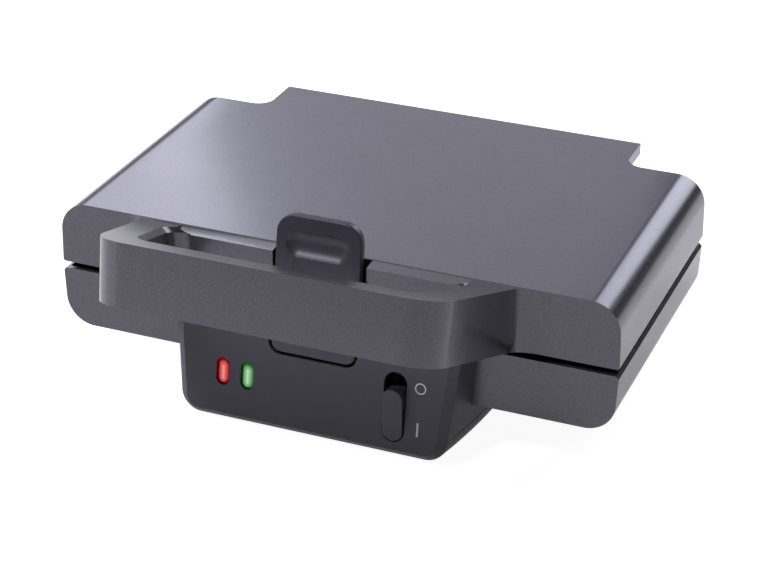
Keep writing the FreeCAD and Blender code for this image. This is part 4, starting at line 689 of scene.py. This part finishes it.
# %% Soften the shells and the plastics
SOFTENED = {
    # node: radius of its edges in millimetres
    "lid_shell": 0.60, "base_shell": 0.50, "console_housing": 0.30, "bottom_cover": 0.25,
    "handle_cover": 0.30, "latch_lever": 0.35, "cord_inlet_bush": 0.40,
    "lid_hinge_arms": 0.40, "rocker": 0.45,
    "lower_plate": 0.50, "upper_plate": 0.50,
}
for node, radius in SOFTENED.items():
    soften(node, radius * MM)

# %% [markdown]
# ## Cross recesses in the screws
#
# The screws came as plain heads. A driver needs a cross recess, pressed into the head when the
# screw is made. One narrow block is turned by a quarter to make the cross, and it is cut out of
# all heads at once. Cutting keeps the round head as it was, which an inset could not do.

# %% Cut the crosses


def block(size, place):
    """A box of a size, with its middle at a place."""
    bpy.ops.mesh.primitive_cube_add(size=1.0, location=place)
    bpy.ops.transform.resize(value=size)
    bpy.ops.object.transform_apply(location=True, rotation=True, scale=True)
    return bpy.context.object


def cross_recess(node, head_radius, face_z, arm, thickness, depth):
    """Softened screws with a cross cut into each head's face at a level."""
    piece = soften(node, 0.12 * MM)
    low, high = (Vector(corner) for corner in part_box(node))
    cutters = []
    for x in (low.x + head_radius, high.x - head_radius):
        for y in (low.y + head_radius, high.y - head_radius):
            for size in ((arm, thickness, 2 * depth), (thickness, arm, 2 * depth)):
                cutters.append(block(size, (x, y, face_z)))
    for cutter in cutters:
        only(piece)
        cut = piece.modifiers.new("cross", "BOOLEAN")
        cut.operation = "DIFFERENCE"
        cut.solver = "EXACT"
        cut.object = cutter
        bpy.ops.object.modifier_apply(modifier="cross")
        bpy.data.objects.remove(cutter, do_unlink=True)
    print(f"{piece.name}: {len(piece.data.polygons)} faces with crosses")


PLATE_FACE_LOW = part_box("lower_plate_screws")[1][2]
PLATE_FACE_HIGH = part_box("upper_plate_screws")[0][2]
COVER_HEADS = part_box("bottom_cover_screws")[0][2]
cross_recess("lower_plate_screws", 3.8 * MM, PLATE_FACE_LOW, 4.2 * MM, 0.9 * MM, 1.3 * MM)
cross_recess("upper_plate_screws", 3.8 * MM, PLATE_FACE_HIGH, 4.2 * MM, 0.9 * MM, 1.3 * MM)
cross_recess("bottom_cover_screws", 3.0 * MM, COVER_HEADS, 3.4 * MM, 0.8 * MM, 0.8 * MM)

# %% [markdown]
# ## Rubber feet with a tread
#
# A moulded foot has a chamfered rim and a shallow ring groove that grips the table. Each foot
# starts as a disc at its place; the tread is made by insetting its lower face twice and pushing
# the ring between the two insets inwards.

# %% Model the feet


def rubber_foot(place, radius, height):
    """One foot with its lower face on the table."""
    bpy.ops.mesh.primitive_cylinder_add(vertices=64, radius=radius, depth=height,
                                        location=(place[0], place[1], height / 2))
    piece = bpy.context.object
    bpy.ops.object.transform_apply(location=True, rotation=True, scale=True)
    bpy.ops.object.mode_set(mode="EDIT")
    for inset, push in ((1.6 * MM, 0.0), (1.0 * MM, 0.5 * MM), (0.8 * MM, 0.0), (0.01 * MM, -0.5 * MM)):
        pick(piece, "FACE", lambda face: face.normal.z < -0.9 and len(face.verts) > 40)
        bpy.ops.mesh.inset(thickness=inset)
        bpy.ops.transform.translate(value=(0, 0, push))
    bpy.ops.object.mode_set(mode="OBJECT")
    return piece


FEET_LOW, FEET_HIGH = (Vector(corner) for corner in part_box("rubber_feet"))
FOOT_RADIUS = 7.0 * MM
feet = [rubber_foot((x, y), FOOT_RADIUS, FEET_HIGH.z)
        for x in (FEET_LOW.x + FOOT_RADIUS, FEET_HIGH.x - FOOT_RADIUS)
        for y in (FEET_LOW.y + FOOT_RADIUS, FEET_HIGH.y - FOOT_RADIUS)]
bpy.ops.object.select_all(action="DESELECT")
for foot in feet:
    foot.select_set(True)
bpy.context.view_layer.objects.active = feet[0]
bpy.ops.object.join()
tread = bpy.context.object
tread.name = "rubber_feet_treads"
tread.data.materials.append(FINISHES["rubber"])
bpy.ops.object.transform_apply(location=True, rotation=True, scale=True)
bpy.ops.object.shade_smooth_by_angle(angle=math.radians(30))
rim = tread.modifiers.new("rim", "BEVEL")
rim.width = 0.35 * MM
rim.segments = 2
rim.limit_method = "ANGLE"
rim.angle_limit = math.radians(50)
bpy.ops.object.modifier_apply(modifier="rim")
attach(tread, NODES["rubber_feet"]["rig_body"])
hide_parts("rubber_feet")
print("feet:", len(tread.data.polygons), "faces")

# %% [markdown]
# ## The console's own plane
#
# The console leans back a little. Its marks lie in that leaning plane, so it is worked out
# from two things the design fixes: the rocker's axle and how far it lies behind the face.

# %% Find the console plane
CONSOLE_RUN, CONSOLE_RISE = 7.6 * MM, 51.9 * MM
LEAN = math.atan2(CONSOLE_RUN, CONSOLE_RISE)
JOINTS = {joint["name"]: Vector(joint["pos_m"]) for joint in frame["joints"]}
INWARDS = Vector((0, math.cos(LEAN), -math.sin(LEAN)))
UPWARDS = Vector((0, math.sin(LEAN), math.cos(LEAN)))
AXLE_DEPTH, AXLE_LEVEL = 7.0 * MM, 25.6 * MM
CONSOLE_FOOT = JOINTS["power_switch"] - INWARDS * AXLE_DEPTH - UPWARDS * AXLE_LEVEL
CONSOLE_FOOT.x = 0.0
CONSOLE_PLANE = Matrix.Translation(CONSOLE_FOOT) @ Matrix.Rotation(math.pi / 2 - LEAN, 4, "X")
print("console foot at", [round(c / MM, 2) for c in CONSOLE_FOOT])

# %% [markdown]
# ## Switch marks
#
# A ring and a bar beside the rocker say off and on. On the real console they are a film of
# ink. Each starts flat at the middle of the scene, is given a hair of thickness so that it
# survives as geometry, and is then laid on the console plane.

# %% Print the ring and the bar
PRINT_FILM = 0.06 * MM
RING_RADIUS, LINE_WIDTH = 2.8 * MM, 0.58 * MM
BAR_WIDTH, BAR_HEIGHT = 1.0 * MM, 7.2 * MM
OFF_PLACE = (55.7 * MM, 37.5 * MM)
ON_PLACE = (55.5 * MM, 16.5 * MM)


def lay_on_console(piece, place, name):
    """Move a piece that is drawn flat at the origin onto the console and attach it."""
    across, up = place
    piece.matrix_world = CONSOLE_PLANE @ Matrix.Translation((across, up, 0)) @ piece.matrix_world
    only(piece)
    bpy.ops.object.transform_apply(location=True, rotation=True, scale=True)
    piece.name = name
    piece.data.materials.append(FINISHES["white_print"])
    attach(piece, "base")


bpy.ops.mesh.primitive_circle_add(vertices=72, radius=RING_RADIUS, fill_type="NGON",
                                  location=(0, 0, 0))
ring_mark = bpy.context.object
bpy.ops.object.mode_set(mode="EDIT")
bpy.ops.mesh.select_all(action="SELECT")
bpy.ops.mesh.inset(thickness=LINE_WIDTH)
bpy.ops.mesh.delete(type="FACE")
bpy.ops.mesh.select_all(action="SELECT")
bpy.ops.mesh.extrude_region_move(TRANSFORM_OT_translate={"value": (0, 0, PRINT_FILM)})
bpy.ops.mesh.select_all(action="SELECT")
bpy.ops.mesh.normals_make_consistent(inside=False)
bpy.ops.object.mode_set(mode="OBJECT")
lay_on_console(ring_mark, OFF_PLACE, "off_mark")

bpy.ops.mesh.primitive_plane_add(size=1.0, location=(0, 0, 0))
bar_mark = bpy.context.object
bpy.ops.object.mode_set(mode="EDIT")
bpy.ops.mesh.select_all(action="SELECT")
bpy.ops.transform.resize(value=(BAR_WIDTH, BAR_HEIGHT, 1.0))
bpy.ops.mesh.extrude_region_move(TRANSFORM_OT_translate={"value": (0, 0, PRINT_FILM)})
bpy.ops.mesh.select_all(action="SELECT")
bpy.ops.mesh.normals_make_consistent(inside=False)
bpy.ops.object.mode_set(mode="OBJECT")
lay_on_console(bar_mark, ON_PLACE, "on_mark")
print("marks on the console: off_mark, on_mark")
